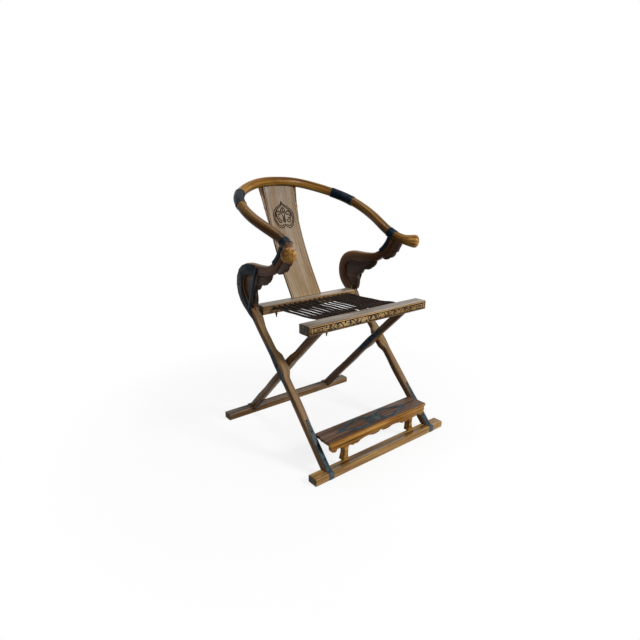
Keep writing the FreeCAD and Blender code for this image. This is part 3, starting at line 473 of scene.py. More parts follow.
crestWood = woodFinish("crest_honey_wood", honey, "grain")
armWood = woodFinish("arm_toffee_wood", toffee, "grain")
legWood = woodFinish("leg_umber_wood", umber, "grain")
innerWood = woodFinish("inner_leg_russet_wood", russet, "grain")
splatWood = woodFinish("splat_pale_wood", driftwood, "grain", carved=True)
splatSideShadeWood = woodFinish("splat_side_painted_shade_wood", russet, "grain")
railWood = woodFinish("seat_rail_pewter_wood", pewter, "x")
footWood = woodFinish("foot_rail_ochre_wood", ochre, "x")
endGrainAndShadeWood = woodFinish("end_grain_and_painted_shade_wood", smoke, "x")
faceWood = woodFinish("rail_face_gilt_wood", gilt, "x", carved=True)
bracketWood = woodFinish("bracket_walnut_wood", walnut, "y")
darkTopWood = woodFinish("rear_rail_walnut_wood", walnut, "x")
spandrelWood = woodFinish("spandrel_pale_wood", russet, "z")
apronWood = woodFinish("footrest_amber_wood", amber, "x")
boardWood = woodFinish("footrest_plum_wood", plum, "x")
blueBlack = {"dark": (0.001, 0.002, 0.004), "mid": (0.002, 0.006, 0.012), "light": (0.008, 0.021, 0.034),
             "rust": (0.016, 0.010, 0.007), "rubbedAndGlint": (0.045, 0.080, 0.110)}
# slate: lighter iron for the straps and the inlay, its pale blue-grey and bright edges partly painted
# highlight
slate = {"dark": (0.010, 0.014, 0.018), "mid": (0.030, 0.050, 0.058), "light": (0.105, 0.142, 0.158),
         "rust": (0.040, 0.026, 0.018), "rubbedAndGlint": (0.22, 0.26, 0.29)}
blackIron = ironFinish("wrought_iron", blueBlack)
slateIron = ironFinish("strap_iron_wear_and_painted_highlight", slate)
sootIron = ironFinish("dull_tongue_iron", {**blueBlack, "rubbedAndGlint": (0.012, 0.016, 0.020)})
hempCord = cordFinish("brown_hemp_cord", {"dark": (0.003, 0.002, 0.001), "mid": (0.015, 0.008, 0.005),
                                          "light": (0.050, 0.030, 0.020), "turnsPerMetre": 95})
print("finishes ready:", len(bpy.data.materials))


# pieces

def onScene(name, data):
    thing = bpy.data.objects.new(name, data)
    bpy.context.scene.collection.objects.link(thing)
    return thing


# the mesh becomes a piece; sky says how far each face looks up, the mask of the painted top sheen
def finishPiece(bm, name, material, slot, nodes, body=None, rides=True, sharp=40):
    bmesh.ops.recalc_face_normals(bm, faces=bm.faces)
    sky = bm.loops.layers.float.get("sky") or bm.loops.layers.float.new("sky")
    for face in bm.faces:
        for loop in face.loops:
            loop[sky] = max(face.normal.z, 0.0)
    mesh = asMesh(bm, name)
    mesh.materials.append(material)
    mesh.shade_smooth()
    mesh.set_sharp_from_angle(angle=math.radians(sharp))
    piece = onScene(name, mesh)
    if nodes:
        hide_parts(*nodes)
    if rides:
        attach(piece, body or cadNodes[nodes[0]]["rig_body"])
    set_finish(piece, slot)
    return piece


# another finish on the faces that look one way or its opposite
def facing(piece, way, material, nearly=0.9):
    piece.data.materials.append(material)
    for face in piece.data.polygons:
        if abs(face.normal.dot(way)) > nearly:
            face.material_index = len(piece.data.materials) - 1


# the other side's piece, mirrored in the middle of the chair
def otherSide(piece, name, nodes):
    bm = bmesh.new()
    bm.from_mesh(piece.data)
    bmesh.ops.scale(bm, vec=(-1, 1, 1), verts=bm.verts)
    bmesh.ops.reverse_faces(bm, faces=bm.faces)
    return finishPiece(bm, name, piece.data.materials[0], piece["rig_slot"], nodes)


# copy of a CAD node, with doubled corners joined and flat faces whole
def cadCopy(node, flat):
    bm = bmesh.new()
    bm.from_mesh(cadNodes[node].data)
    bmesh.ops.remove_doubles(bm, verts=bm.verts, dist=2e-5)
    bmesh.ops.dissolve_limit(bm, angle_limit=math.radians(flat), verts=bm.verts, edges=bm.edges)
    return bm


def easedCopy(node, material, slot, width, segments=2, least=0.0):
    bm = cadCopy(node, 0.6)
    easeEdges(bm, keenEdges(bm, 30, least), width, segments)
    return finishPiece(bm, node + ("_iron" if slot == "iron" else "_wood"), material, slot, [node])


# crest rail: one line round the back, split at the iron sleeves
crest = {"halfWidth": 0.302, "backY": 0.394, "height": 1.034, "armEndY": -0.159, "armEndZ": 0.794,
         "radius": 0.020, "knobRadius": 0.0272, "knobLength": 0.070, "knobRise": 1.25, "knobSteps": 22,
         "knobTip": (0.03, 0.018, 0.009, 0.003), "domeFrom": 0.72, "domePower": 2.4,
         "splitFromMiddle": 0.330, "sides": 40, "step": 0.012}
horseshoe = [(0.000, 1.000, 1.000), (0.308, 0.987, 0.979), (0.593, 0.929, 0.897), (0.825, 0.830, 0.785),
             (0.960, 0.689, 0.649), (1.000, 0.538, 0.496), (0.964, 0.380, 0.339), (0.907, 0.232, 0.182),
             (0.940, 0.114, 0.056), (1.113, 0.000, 0.000)]
homeY = (middleOf("front_foot_rail").y + middleOf("rear_foot_rail").y) / 2
halfCrest = [Vector((a * crest["halfWidth"], homeY + between(crest["armEndY"], crest["backY"], b),
                     between(crest["armEndZ"], crest["height"], c))) for a, b, c in horseshoe]
crestLine = drawLine([Vector((-p.x, p.y, p.z)) for p in halfCrest[:0:-1]] + halfCrest, 900)
crestHalf = crestLine["length"] / 2


def crestPlace(distance):
    spot = crestHalf + distance
    ahead = headingOn(crestLine, spot)
    side = ahead.cross(zWay).normalized()
    return standing(placeOn(crestLine, spot), side, side.cross(ahead), ahead)


def crestGirth(distance):
    left = crestHalf - abs(distance)
    if left >= crest["knobLength"]:
        return crest["radius"]
    rise = (crest["knobLength"] - left) / crest["knobLength"]
    share = math.sin(min(rise * crest["knobRise"], 1.0) * math.pi / 2) ** 2
    dome = max(0.0, rise - crest["domeFrom"]) / (1 - crest["domeFrom"])
    girth = between(crest["radius"], crest["knobRadius"], share)
    return girth * math.sqrt(max(1 - dome ** crest["domePower"], 0.0))


def crestPiece(name, node, first, last, material, knob=False):
    marks = evenSteps(first, last - (crest["knobLength"] if knob else 0), crest["step"])
    if knob:
        shares = [1 - k / crest["knobSteps"] for k in range(1, crest["knobSteps"])]
        marks += [last - crest["knobLength"] * s for s in (*shares, *crest["knobTip"])]
    bm = freshMesh()
    stops = [(crestPlace(d), crestGirth(d), crestGirth(d), d) for d in marks]
    sweepRing(bm, roundRing(bm, 1.0, crest["sides"]), stops)
    return finishPiece(bm, name, material, "frame_wood", [node], sharp=60)


split = crest["splitFromMiddle"]
crestPiece("crest_middle", "crest_rail_middle", -split, split, crestWood)
leftArm = crestPiece("arm_left", "crest_arm_left", split, crestHalf, armWood, knob=True)
otherSide(leftArm, "arm_right", ["crest_arm_right"])
print("crest rail swept:", round(crestLine["length"], 4), "m along its middle")

# iron round the crest rail: sleeves over its joints, collars on the arms
# lip is how far from the end the rolled edge rises, falls and is plain again
band = {"gap": 0.0002, "wall": 0.0019, "lip": (0.0008, 0.0032, 0.0042), "lipRise": 0.0004, "lipEdge": 0.75,
        "plainFrom": 0.010, "sleeveLength": 0.118, "collarLength": 0.032, "collarFromEnd": 0.124,
        "rivets": 4, "rivetRadius": 0.0026, "rivetFlat": 0.55, "rivetFromMiddle": 0.046, "rivetTurn": 0.4}


# iron tube with a rolled lip at both ends
def crestBand(bm, middle, length):
    first, last = middle - length / 2, middle + length / 2
    wall, raised = band["wall"], band["wall"] + band["lipRise"]
    rise, fall, plain = band["lip"]
    lip = [(0, band["gap"]), (0, wall * band["lipEdge"]), (rise, raised), (fall, raised), (plain, wall)]
    inFirst, inLast = first + band["plainFrom"], last - band["plainFrom"]
    girth = [(first + along, g) for along, g in lip]
    girth += [(d, wall) for d in evenSteps(inFirst, inLast, crest["step"])]
    girth += [(last - along, g) for along, g in lip[::-1]]
    girth += [(d, band["gap"]) for d in evenSteps(inLast, inFirst, -crest["step"]) + [first]]
    stops = [(crestPlace(d), crest["radius"] + g, crest["radius"] + g, d) for d, g in girth]
    sweepRing(bm, roundRing(bm, 1.0, crest["sides"]), stops, closed=False)
    bmesh.ops.remove_doubles(bm, verts=bm.verts, dist=1e-5)


def crestRivets(bm, middle):
    for along in (-band["rivetFromMiddle"], band["rivetFromMiddle"]):
        for k in range(band["rivets"]):
            turn = k * 2 * math.pi / band["rivets"] + band["rivetTurn"]
            put = crestPlace(middle + along) @ Matrix.Rotation(turn, 4, "Z")
            put = put @ Matrix.Translation((crest["radius"] + band["wall"], 0, 0))
            dome = bmesh.ops.create_uvsphere(bm, u_segments=12, v_segments=8, radius=band["rivetRadius"])
            put = put @ Matrix.Diagonal((band["rivetFlat"], 1, 1, 1))
            bmesh.ops.transform(bm, matrix=put, verts=dome["verts"])


bm = freshMesh()
for middle in (-split, split):
    crestBand(bm, middle, band["sleeveLength"])
    crestRivets(bm, middle)
finishPiece(bm, "crest_sleeves_iron", blackIron, "iron", ["crest_sleeves"])

# legs, each sawn from a plank: bottom, pivot swelling, seat joint, gooseneck
# plain and stepBelow are shares of the way from the foot to the pivot, stepAbove and the upper rows
# from there to the seat joint; the second number is the share of the full swelling there
leg = {"outerX": 0.279, "outerThick": 0.030, "outerWide": 0.030, "innerX": 0.221, "innerThick": 0.025,
       "innerWide": 0.031, "swell": 0.01355, "flare": 0.012, "pivotBelly": 0.003, "corner": 0.26,
       "cornerSegments": 4, "step": 0.006, "overlap": 0.001, "rearJointDrop": 0.75,
       "frontJointBehind": 0.017, "armJointFromEnd": 0.116, "plain": (0.0, 0.4, 0.76),
       "stepBelow": ((0.855, 0.0), (0.885, 0.42), (0.915, 0.92), (1.0, 1.0)),
       "stepAbove": ((0.15, 0.92), (0.20, 0.42), (0.26, 0.0), (0.42, 0.0)),
       "outerUpper": ((0.68, 0.12),), "innerUpper": ((0.7, 0.0), (1.0, 0.0), (1.1, 0.0))}
gooseneck = [(-0.100, 0.070, 0.038), (-0.257, 0.180, 0.045), (-0.345, 0.354, 0.046), (-0.270, 0.525, 0.046),
             (-0.066, 0.603, 0.046), (0.177, 0.612, 0.044), (0.398, 0.620, 0.042), (0.597, 0.652, 0.038),
             (0.752, 0.725, 0.034), (0.876, 0.823, 0.030), (0.956, 0.925, 0.028), (0.990, 1.000, 0.028)]
rearLow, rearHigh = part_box("rear_seat_rail")
frontLow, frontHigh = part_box("front_seat_rail")
rearJoint = Vector((0, (rearLow.y + rearHigh.y) / 2, between(rearHigh.z, rearLow.z, leg["rearJointDrop"])))
frontJoint = Vector((0, (frontLow.y + frontHigh.y) / 2 + leg["frontJointBehind"], frontLow.z))
armJoint = placeOn(crestLine, crestLine["length"] - leg["armJointFromEnd"])
outerFoot, innerFoot = middleOf("front_foot_rail"), middleOf("rear_foot_rail")
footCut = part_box("front_foot_rail")[1].z - leg["overlap"]


def legStations(foot, wide, joint, upper):
    rows = [(between(foot, pivot, s), wide, 0.0) for s in leg["plain"]]
    rows += [(between(foot, pivot, s), wide + leg["pivotBelly"] * w, leg["swell"] * w)
             for s, w in leg["stepBelow"]]
    return rows + [(between(pivot, joint, s), wide, leg["swell"] * w) for s, w in leg["stepAbove"] + upper]


# line of a leg, with its width and swelling kept along it
def legLine(rows, steps, middleX, thick, swellSide):
    line = drawLine([Vector((0, p.y, p.z)) for p, w, s in rows], steps)
    sizes = drawLine([Vector((w, s, m)) for (p, w, s), m in zip(rows, line["marks"])], 900)["places"]
    return {**line, "sizes": sizes, "middleX": middleX, "thick": thick, "swellSide": swellSide}


# the smooth line would run past the full swelling, so the swelling is capped
def legStop(line, distance):
    ahead = headingOn(line, distance)
    wide, swell = (float(np.interp(distance, line["sizes"][:, 2], line["sizes"][:, k])) for k in (0, 1))
    swell = min(max(swell, 0.0), leg["swell"])
    centre = placeOn(line, distance) + xWay * (line["middleX"] + line["swellSide"] * swell / 2)
    return standing(centre, xWay, xWay.cross(ahead), ahead), line["thick"] + swell, wide, distance


def legPair(stem, line, material, cuts):
    bm = freshMesh()
    stops = [legStop(line, d) for d in evenSteps(0, line["length"], leg["step"])]
    sweepRing(bm, squareRing(bm, leg["corner"], leg["cornerSegments"]), stops)
    for height, keepAbove in cuts:
        bmesh.ops.bisect_plane(bm, geom=everyPart(bm), dist=1e-6, plane_co=zWay * height, plane_no=zWay,
                               clear_inner=keepAbove, clear_outer=not keepAbove)
        bmesh.ops.contextual_create(bm, geom=[e for e in bm.edges if e.is_boundary])
    left = finishPiece(bm, stem + "_left_wood", material, "frame_wood", [stem + "_left"], sharp=50)
    otherSide(left, stem + "_right_wood", [stem + "_right"])


outerRows = legStations(outerFoot, leg["outerWide"], rearJoint, leg["outerUpper"])
outerRows.append((rearJoint, leg["outerWide"], leg["flare"]))
toArm = armJoint - rearJoint
outerRows += [(rearJoint + Vector((0, toArm.y * a, toArm.z * u)), w, 0.0) for a, u, w in gooseneck]
innerRows = legStations(innerFoot, leg["innerWide"], frontJoint, leg["innerUpper"])
outerLine = legLine(outerRows, 700, leg["outerX"], leg["outerThick"], -1)
innerLine = legLine(innerRows, 400, leg["innerX"], leg["innerThick"], 1)
legPair("outer_leg", outerLine, legWood, [(footCut, True)])
legPair("inner_leg", innerLine, innerWood, [(footCut, True), (frontLow.z + leg["overlap"], False)])
print("legs swept: outer", round(outerLine["length"], 3), "inner", round(innerLine["length"], 3))

# arm collars with their straps, each a channel folded over the back edge of the gooseneck
collar = {"thick": 0.0016, "lift": 0.0003, "flange": 0.017, "stations": 3, "short": 0.012, "step": 0.006,
          "ease": 0.0004}


def channelRing(bm, half):
    lift, flange, thick = collar["lift"], collar["flange"], collar["thick"]
    corners = [(-half - thick, flange), (-half - thick, -lift - thick), (half + thick, -lift - thick),
               (half + thick, flange), (half, flange), (half, -lift), (-half, -lift), (-half, flange)]
    ring = [bm.verts.new((x, y, 0)) for x, y in corners]
    for a, b in zip(ring, ring[1:] + ring[:1]):
        bm.edges.new((a, b))
    return ring


def collarStrap():
    start = outerLine["marks"][-1 - collar["stations"]]
    stops = []
    for d in evenSteps(start, outerLine["length"] - collar["short"], collar["step"]):
        place, _, wide, _ = legStop(outerLine, d)
        stops.append((place @ Matrix.Translation((0, -wide / 2, 0)), 1, 1, d))
    strap = freshMesh()
    sweepRing(strap, channelRing(strap, leg["outerThick"] / 2 + collar["lift"]), stops)
    easeEdges(strap, keenEdges(strap, 50), collar["ease"])
    return strap


bm = freshMesh()
crestBand(bm, crestHalf - band["collarFromEnd"], band["collarLength"])
pour(collarStrap(), bm)
twin = bmesh.ops.duplicate(bm, geom=everyPart(bm))["geom"]
bmesh.ops.scale(bm, vec=(-1, 1, 1), verts=vertsOf(twin))
finishPiece(bm, "arm_collars_iron", blackIron, "iron", ["arm_collars"])
print("iron collars and sleeves ready")


# carving: grooves pressed into a fine grid by their distance from drawn strokes

def spiralStroke(cx, cy, r0, r1, start, stop, count=44):
    turn = np.radians(np.linspace(start, stop, count))
    radius = np.linspace(r0, r1, count)
    return np.stack([cx + radius * np.cos(turn), cy + radius * np.sin(turn)], 1)


def ringStroke(cx, cy, radius):
    return spiralStroke(cx, cy, radius, radius, 0, 360, 26)


def lineStroke(points, spacing=0.0008):
    p = np.array(points, float)
    rows = []
    for a, b in zip(p, p[1:]):
        count = max(2, int(np.linalg.norm(b - a) / spacing))
        rows.append(a + (b - a) * np.linspace(0, 1, count)[:, None])
    return np.concatenate(rows)


def curveStroke(points, count=90):
    return drawLine([Vector((x, y, 0)) for x, y in points], count)["places"][:, :2]


def bothSides(strokes):
    return strokes + [s * np.array([-1, 1]) for s in strokes]


# 0 on the plain ground, 1 at the bottom of a groove
def hollowed(gap, width):
    return np.clip(1 - (gap / width) ** 2, 0, 1)


def grooveAt(places, strokes, width, batch=150):
    points = np.concatenate(strokes)
    nearest = np.full(len(places), np.inf)
    for k in range(0, len(points), batch):
        gaps = np.linalg.norm(places[:, None, :] - points[None, k:k + batch, :], axis=2)
        nearest = np.minimum(nearest, gaps.min(1))
    return hollowed(nearest, width)


# a carved sheet that looks to the front gets its thickness behind it
def thicken(bm, thick):
    bm.normal_update()
    bm.faces.ensure_lookup_table()
    if bm.faces[0].normal.y > 0:
        bmesh.ops.reverse_faces(bm, faces=bm.faces)
        bm.normal_update()
    bmesh.ops.solidify(bm, geom=list(bm.faces), thickness=thick)


# back splat: bent panel, finer where the medallion and the edge beads are cut; steps are coarse, then fine
splat = {"bottomWide": 0.158, "topWide": 0.160, "thick": 0.012, "hollow": 0.024, "setBack": 0.010,
         "headBehind": 0.008, "footIn": 0.001, "ease": 0.0016, "medallionShare": 0.712,
         "medallionWide": 0.122, "medallionTall": 0.132, "grooveDepth": 0.0020, "grooveWide": 0.0033,
         "beadIn": 0.0062, "beadWide": 0.0014, "beadDepth": 0.8, "beadBand": 0.03,
         "rowSteps": (0.016, 0.0009), "columnSteps": (0.12, 0.0115)}
splatFoot = Vector((0, rearJoint.y + splat["setBack"], rearHigh.z - splat["footIn"]))
splatHead = Vector((0, homeY + crest["backY"] + splat["headBehind"], crest["height"]))
splatChord = splatHead - splatFoot
splatBehind = Vector((0, splatChord.z, -splatChord.y)).normalized()


def splatPlace(share):
    return splatFoot + splatChord * share + splatBehind * (splat["hollow"] * math.sin(math.pi * share))


def splatRear(share, nearby=0.01):
    return (splatPlace(share + nearby) - splatPlace(share - nearby)).normalized().cross(xWay)


def splatHalf(share):
    return between(splat["bottomWide"], splat["topWide"], share) / 2


# pointed medallion outline with paired scrolls inside, own drawing of the old cloud-head form
medallion = bothSides([
    curveStroke([(0.0, 0.063), (0.006, 0.051), (0.020, 0.042), (0.038, 0.030), (0.051, 0.011),
                 (0.053, -0.012), (0.046, -0.036), (0.034, -0.053), (0.019, -0.058), (0.006, -0.051),
                 (0.0, -0.041)]),
    curveStroke([(0.0, 0.053), (0.007, 0.043), (0.020, 0.034), (0.035, 0.022), (0.045, 0.006),
                 (0.046, -0.013), (0.040, -0.033), (0.031, -0.045), (0.019, -0.049), (0.009, -0.043)]),
    spiralStroke(0.025, 0.008, 0.0145, 0.004, -70, 320),
    spiralStroke(0.021, -0.024, 0.0125, 0.0035, 85, -290),
    curveStroke([(0.0, 0.037), (0.010, 0.024), (0.009, 0.006), (0.003, -0.009), (0.006, -0.024),
                 (0.0, -0.034)]),
    curveStroke([(0.030, 0.024), (0.038, 0.012), (0.040, -0.004), (0.034, -0.014)]),
])
medallion += [ringStroke(0, 0.015, 0.0045), lineStroke([(0, 0.037), (0, 0.023)]),
              lineStroke([(0, -0.010), (0, -0.034)])]


# steps along one side of the grid: coarse outside the bands, fine inside them
def bandSteps(first, last, bands, coarse, fine):
    marks = [first]
    for bandFirst, bandLast in bands:
        marks += evenSteps(marks[-1], bandFirst, coarse)[1:] + evenSteps(bandFirst, bandLast, fine)[1:]
    return np.array(marks + evenSteps(marks[-1], last, coarse)[1:])


def backSplat():
    length = splatChord.length
    centre, halfTall = splat["medallionShare"] * length, splat["medallionTall"] / 2
    rows = bandSteps(0, length, [(centre - halfTall, centre + halfTall)], *splat["rowSteps"])
    halfBand = splat["medallionWide"] / splat["topWide"]
    bead = 1 - 2 * splat["beadIn"] / splat["topWide"]
    left, right = [(middle - splat["beadBand"], middle + splat["beadBand"]) for middle in (-bead, bead)]
    columns = bandSteps(-1, 1, [left, (-halfBand, halfBand), right], *splat["columnSteps"])
    bm = bmesh.new()
    bmesh.ops.create_grid(bm, x_segments=len(columns) - 1, y_segments=len(rows) - 1, size=0.5)
    grain = bm.verts.layers.float_vector.new("grain")
    carve = bm.verts.layers.float.new("carve")
    column = np.array([columns[round((v.co.x + 0.5) * (len(columns) - 1))] for v in bm.verts])
    shares = np.array([rows[round((v.co.y + 0.5) * (len(rows) - 1))] for v in bm.verts]) / length
    flat = np.stack([column * splatHalf(shares), shares * length - centre], 1)
    inField = (abs(flat[:, 0]) < splat["medallionWide"] / 2) & (abs(flat[:, 1]) < halfTall)
    cut = np.where(inField, grooveAt(flat, medallion, splat["grooveWide"]), 0)
    fromBead = abs(abs(column) - bead) * splat["topWide"] / 2
    cut = np.maximum(cut, hollowed(fromBead, splat["beadWide"]) * splat["beadDepth"])
    for v, x, s, c in zip(bm.verts, flat[:, 0].tolist(), shares.tolist(), cut.tolist()):
        v.co = splatPlace(s) + xWay * x - splatRear(s) * (splat["thick"] / 2 - splat["grooveDepth"] * c)
        v[grain] = (x, 0.0, s * length)
        v[carve] = c
    return bm


def onSplatRim(v, grain):
    share = v[grain].z / splatChord.length
    return min(splatHalf(share) - abs(v[grain].x), share, 1 - share) < 1e-5


bm = backSplat()
thicken(bm, splat["thick"])
grain, carve = bm.verts.layers.float_vector["grain"], bm.verts.layers.float["carve"]
for v in bm.verts:  # the back stays plain
    share = v[grain].z / splatChord.length
    rear = splatRear(share)
    if (v.co - splatPlace(share)).dot(rear) > 0:
        v.co = splatPlace(share) + xWay * v[grain].x + rear * splat["thick"] / 2
        v[carve] = 0.0
bm.normal_update()
easeEdges(bm, [e for e in keenEdges(bm, 60) if all(onSplatRim(v, grain) for v in e.verts)], splat["ease"])
carvedSplat = finishPiece(bm, "back_splat_carved", splatWood, "splat_wood", ["back_splat"], sharp=50)
# the side faces of the splat get a darker wood: painted shade
facing(carvedSplat, xWay, splatSideShadeWood)
print("splat carved")

# carved face of the front seat rail: framed field with a cloud in the middle, then vine, scrolls and key
railFace = {"relief": 0.0024, "back": 0.0014, "grooveWide": 0.0026, "grooveShare": 0.95, "cell": 0.0011,
            "edgeIn": 0.0042, "endIn": 0.0035, "frameIn": 0.0034, "roundOver": 0.0022, "sink": 0.0003,
            "drawnHalf": 0.300, "eyeRadius": 0.0022,
            "eyes": [(0.036, -0.0064), (0.064, -0.0084), (0.099, -0.0086), (0.140, 0.0060),
                     (0.190, -0.0080), (0.229, 0.0040)]}
cloud = [curveStroke([(0.0, -0.0100), (0.013, -0.0096), (0.024, -0.0044), (0.027, 0.0034), (0.019, 0.0088),
                      (0.008, 0.0066), (0.0, 0.0100)]),
         spiralStroke(0.0125, -0.0012, 0.0062, 0.0016, 150, -260)]
vine = [curveStroke([(0.058, 0.0060), (0.070, -0.0066), (0.086, -0.0070), (0.098, 0.0050), (0.114, 0.0082),
                     (0.128, -0.0020)]),
        spiralStroke(0.0800, 0.0026, 0.0070, 0.0016, -110, 330),
        spiralStroke(0.1130, -0.0014, 0.0066, 0.0016, 80, -350)]
scrolls = [curveStroke([(0.148, -0.0084), (0.160, 0.0058), (0.176, 0.0090), (0.192, 0.0020),
                        (0.206, -0.0076), (0.222, -0.0060)]),
           spiralStroke(0.1740, -0.0010, 0.0074, 0.0018, 100, -340),
           spiralStroke(0.2080, 0.0034, 0.0068, 0.0016, -90, 350)]
keyBar = lineStroke([(0.236, 0.0092), (0.284, 0.0092), (0.284, -0.0088), (0.246, -0.0088), (0.246, 0.0028),
                     (0.270, 0.0028), (0.270, -0.0030), (0.258, -0.0030)])
eyes = [ringStroke(x, z, railFace["eyeRadius"]) for x, z in railFace["eyes"]]
railMotifs = bothSides([*cloud, *vine, *scrolls, keyBar, *eyes])


def railCarving():
    halfLong = (frontHigh.x - frontLow.x) / 2 - railFace["endIn"]
    halfTall = (frontHigh.z - frontLow.z) / 2 - railFace["edgeIn"]
    middle = (frontHigh.z + frontLow.z) / 2
    x, z = halfLong - railFace["frameIn"], halfTall - railFace["frameIn"]
    border = lineStroke([(-x, -z), (x, -z), (x, z), (-x, z), (-x, -z)])
    stretch = np.array([halfLong / railFace["drawnHalf"], 1.0])
    bm = bmesh.new()
    bmesh.ops.create_grid(bm, x_segments=round(2 * halfLong / railFace["cell"]),
                          y_segments=round(2 * halfTall / railFace["cell"]), size=1.0)
    carve = bm.verts.layers.float.new("carve")
    flat = np.array([(v.co.x * halfLong, v.co.y * halfTall) for v in bm.verts])
    cut = grooveAt(flat, [border] + [m * stretch for m in railMotifs], railFace["grooveWide"])
    fromEdge = np.minimum(halfLong - abs(flat[:, 0]), halfTall - abs(flat[:, 1]))
    lift = np.sqrt(np.clip(fromEdge / railFace["roundOver"], 0, 1))
    out = railFace["relief"] * lift * (1 - railFace["grooveShare"] * cut) - railFace["sink"] * (1 - lift)
    for v, (x, z), c, ahead in zip(bm.verts, flat, cut, out):
        v.co = (x, frontLow.y - ahead, middle + z)
        v[carve] = c
    thicken(bm, railFace["back"])
    return bm


carvedFace = finishPiece(railCarving(), "rail_carved_face", faceWood, "frame_wood", [], body="inner_frame",
                         sharp=180)
print("front rail carved:", len(carvedFace.data.polygons), "faces")

# rails, brackets, footrest and iron from the CAD nodes, with the width of their eased edges
railEase = {"front_foot_rail": (footWood, 0.0034), "rear_foot_rail": (railWood, 0.0034),
            "front_seat_rail": (railWood, 0.0026), "rear_seat_rail": (railWood, 0.0026)}
pairEase = {"gooseneck_bracket": (bracketWood, "frame_wood", 0.0016),
            "arm_bracket": (bracketWood, "frame_wood", 0.0014),
            "footrest_foot": (apronWood, "frame_wood", 0.0014),
            "splat_spandrel": (spandrelWood, "splat_wood", 0.0008),
            "gooseneck_plate": (blackIron, "iron", 0.0005), "gooseneck_brace": (blackIron, "iron", 0.0008),
            "front_foot_strap": (slateIron, "iron", 0.0005), "rear_foot_strap": (slateIron, "iron", 0.0005)}
footrest = {"boardEase": 0.0018, "apronEase": 0.0012, "inlayEase": 0.0003, "notchReach": 0.0025,
            "notchBack": 0.002}
nailRise = 1.05  # nail heads stand a little over the CAD ones


# nail heads hammered to domes, each over its own CAD nail
def domedNails(node):
    source = cadCopy(node, 1)
    left = set(source.verts)
    bm = freshMesh()
    while left:
        island = [left.pop()]
        for v in island:
            near = [e.other_vert(v) for e in v.link_edges if e.other_vert(v) in left]
            left.difference_update(near)
            island += near
        normal = max({f for v in island for f in v.link_faces}, key=lambda f: f.calc_area()).normal
        centre = sum((v.co for v in island), Vector()) / len(island)
        arms = [v.co - centre for v in island]
        tall = max(abs(arm.dot(normal)) for arm in arms) * nailRise
        wide = max((arm - normal * arm.dot(normal)).length for arm in arms)
        put = Matrix.Translation(centre) @ normal.to_track_quat("Z", "X").to_matrix().to_4x4()
        head = bmesh.ops.create_uvsphere(bm, u_segments=14, v_segments=8, radius=1.0)["verts"]
        bmesh.ops.transform(bm, matrix=put @ Matrix.Diagonal((wide, wide, tall, 1)), verts=head)
    source.free()
    finishPiece(bm, node + "_iron", blackIron, "iron", [node])


for node, (wood, width) in railEase.items():
    rail = easedCopy(node, wood, "frame_wood", width, segments=3, least=0.02)
    # rail ends: darker end grain, and painted shade
    facing(rail, xWay, endGrainAndShadeWood)
    if node == "rear_foot_rail":
        facing(rail, zWay, darkTopWood)
board = easedCopy("footrest_board", boardWood, "frame_wood", footrest["boardEase"])
facing(board, yWay, apronWood)
legInside = leg["outerX"] - leg["outerThick"] / 2
notch = max(v.co.y for v in cadNodes["footrest_board"].data.vertices if abs(v.co.x) > legInside)
for v in board.data.vertices:  # room for the legs when the footrest is turned up
    if abs(v.co.y - notch) < footrest["notchReach"]:
        v.co.y -= footrest["notchBack"]
easedCopy("footrest_apron", apronWood, "frame_wood", footrest["apronEase"])
easedCopy("footrest_inlay", slateIron, "iron", footrest["inlayEase"])
for side in ("left", "right"):
    for stem, (material, slot, width) in pairEase.items():
        easedCopy(stem + "_" + side, material, slot, width)
for group in ("outer_strap", "outer_plate", "gooseneck", "inner_strap", "inner_plate"):
    domedNails(group + "_nails")
for node in ("outer_pivot_plates", "inner_pivot_plates", "pivot_pins", "pivot_washers", "footrest_pins"):
    mesh = cadNodes[node].data
    mesh.materials.clear()
    mesh.materials.append(blackIron)

# thin iron tongue on the front face of each inner leg, bent down over the rail
tongue = {"wide": 0.015, "thick": 0.0020, "up": 0.092, "down": 0.012, "gap": 0.0002, "ease": 0.0005}


def footTongue(side):
    low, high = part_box("rear_foot_rail")
    ahead = (pivot - innerFoot).normalized()
    front = Vector((0, -ahead.z, ahead.y))
    start = innerFoot + front * (leg["innerWide"] / 2 + tongue["gap"])
    heel = start + ahead * ((high.z + tongue["gap"] - start.z) / ahead.z)
    edge = low.y - tongue["gap"]
    path = [heel + ahead * tongue["up"], heel, Vector((0, edge, heel.z)),
            Vector((0, edge, high.z - tongue["down"]))]
    ways = [(b - a).normalized() for a, b in zip(path, path[1:])]
    outer = []
    for p, back, on in zip(path, ways[:1] + ways, ways + ways[-1:]):
        first, second = Vector((0, back.z, -back.y)), Vector((0, on.z, -on.y))
        middle = (first + second).normalized()
        outer.append(p + middle * (tongue["thick"] / middle.dot(second)))
    bm = freshMesh()
    x = side * leg["innerX"] - tongue["wide"] / 2
    face = bm.faces.new([bm.verts.new((x, p.y, p.z)) for p in path + outer[::-1]])
    grown = bmesh.ops.extrude_face_region(bm, geom=[face], use_keep_orig=True)["geom"]
    bmesh.ops.translate(bm, vec=xWay * tongue["wide"], verts=vertsOf(grown))
    bmesh.ops.recalc_face_normals(bm, faces=bm.faces)
    easeEdges(bm, keenEdges(bm, 50), tongue["ease"])
    return bm


for side, sign in (("left", 1), ("right", -1)):
    finishPiece(footTongue(sign), "rear_foot_tongue_" + side + "_iron", sootIron, "iron", [],
                body="inner_frame")
print("CAD nodes eased and dressed")

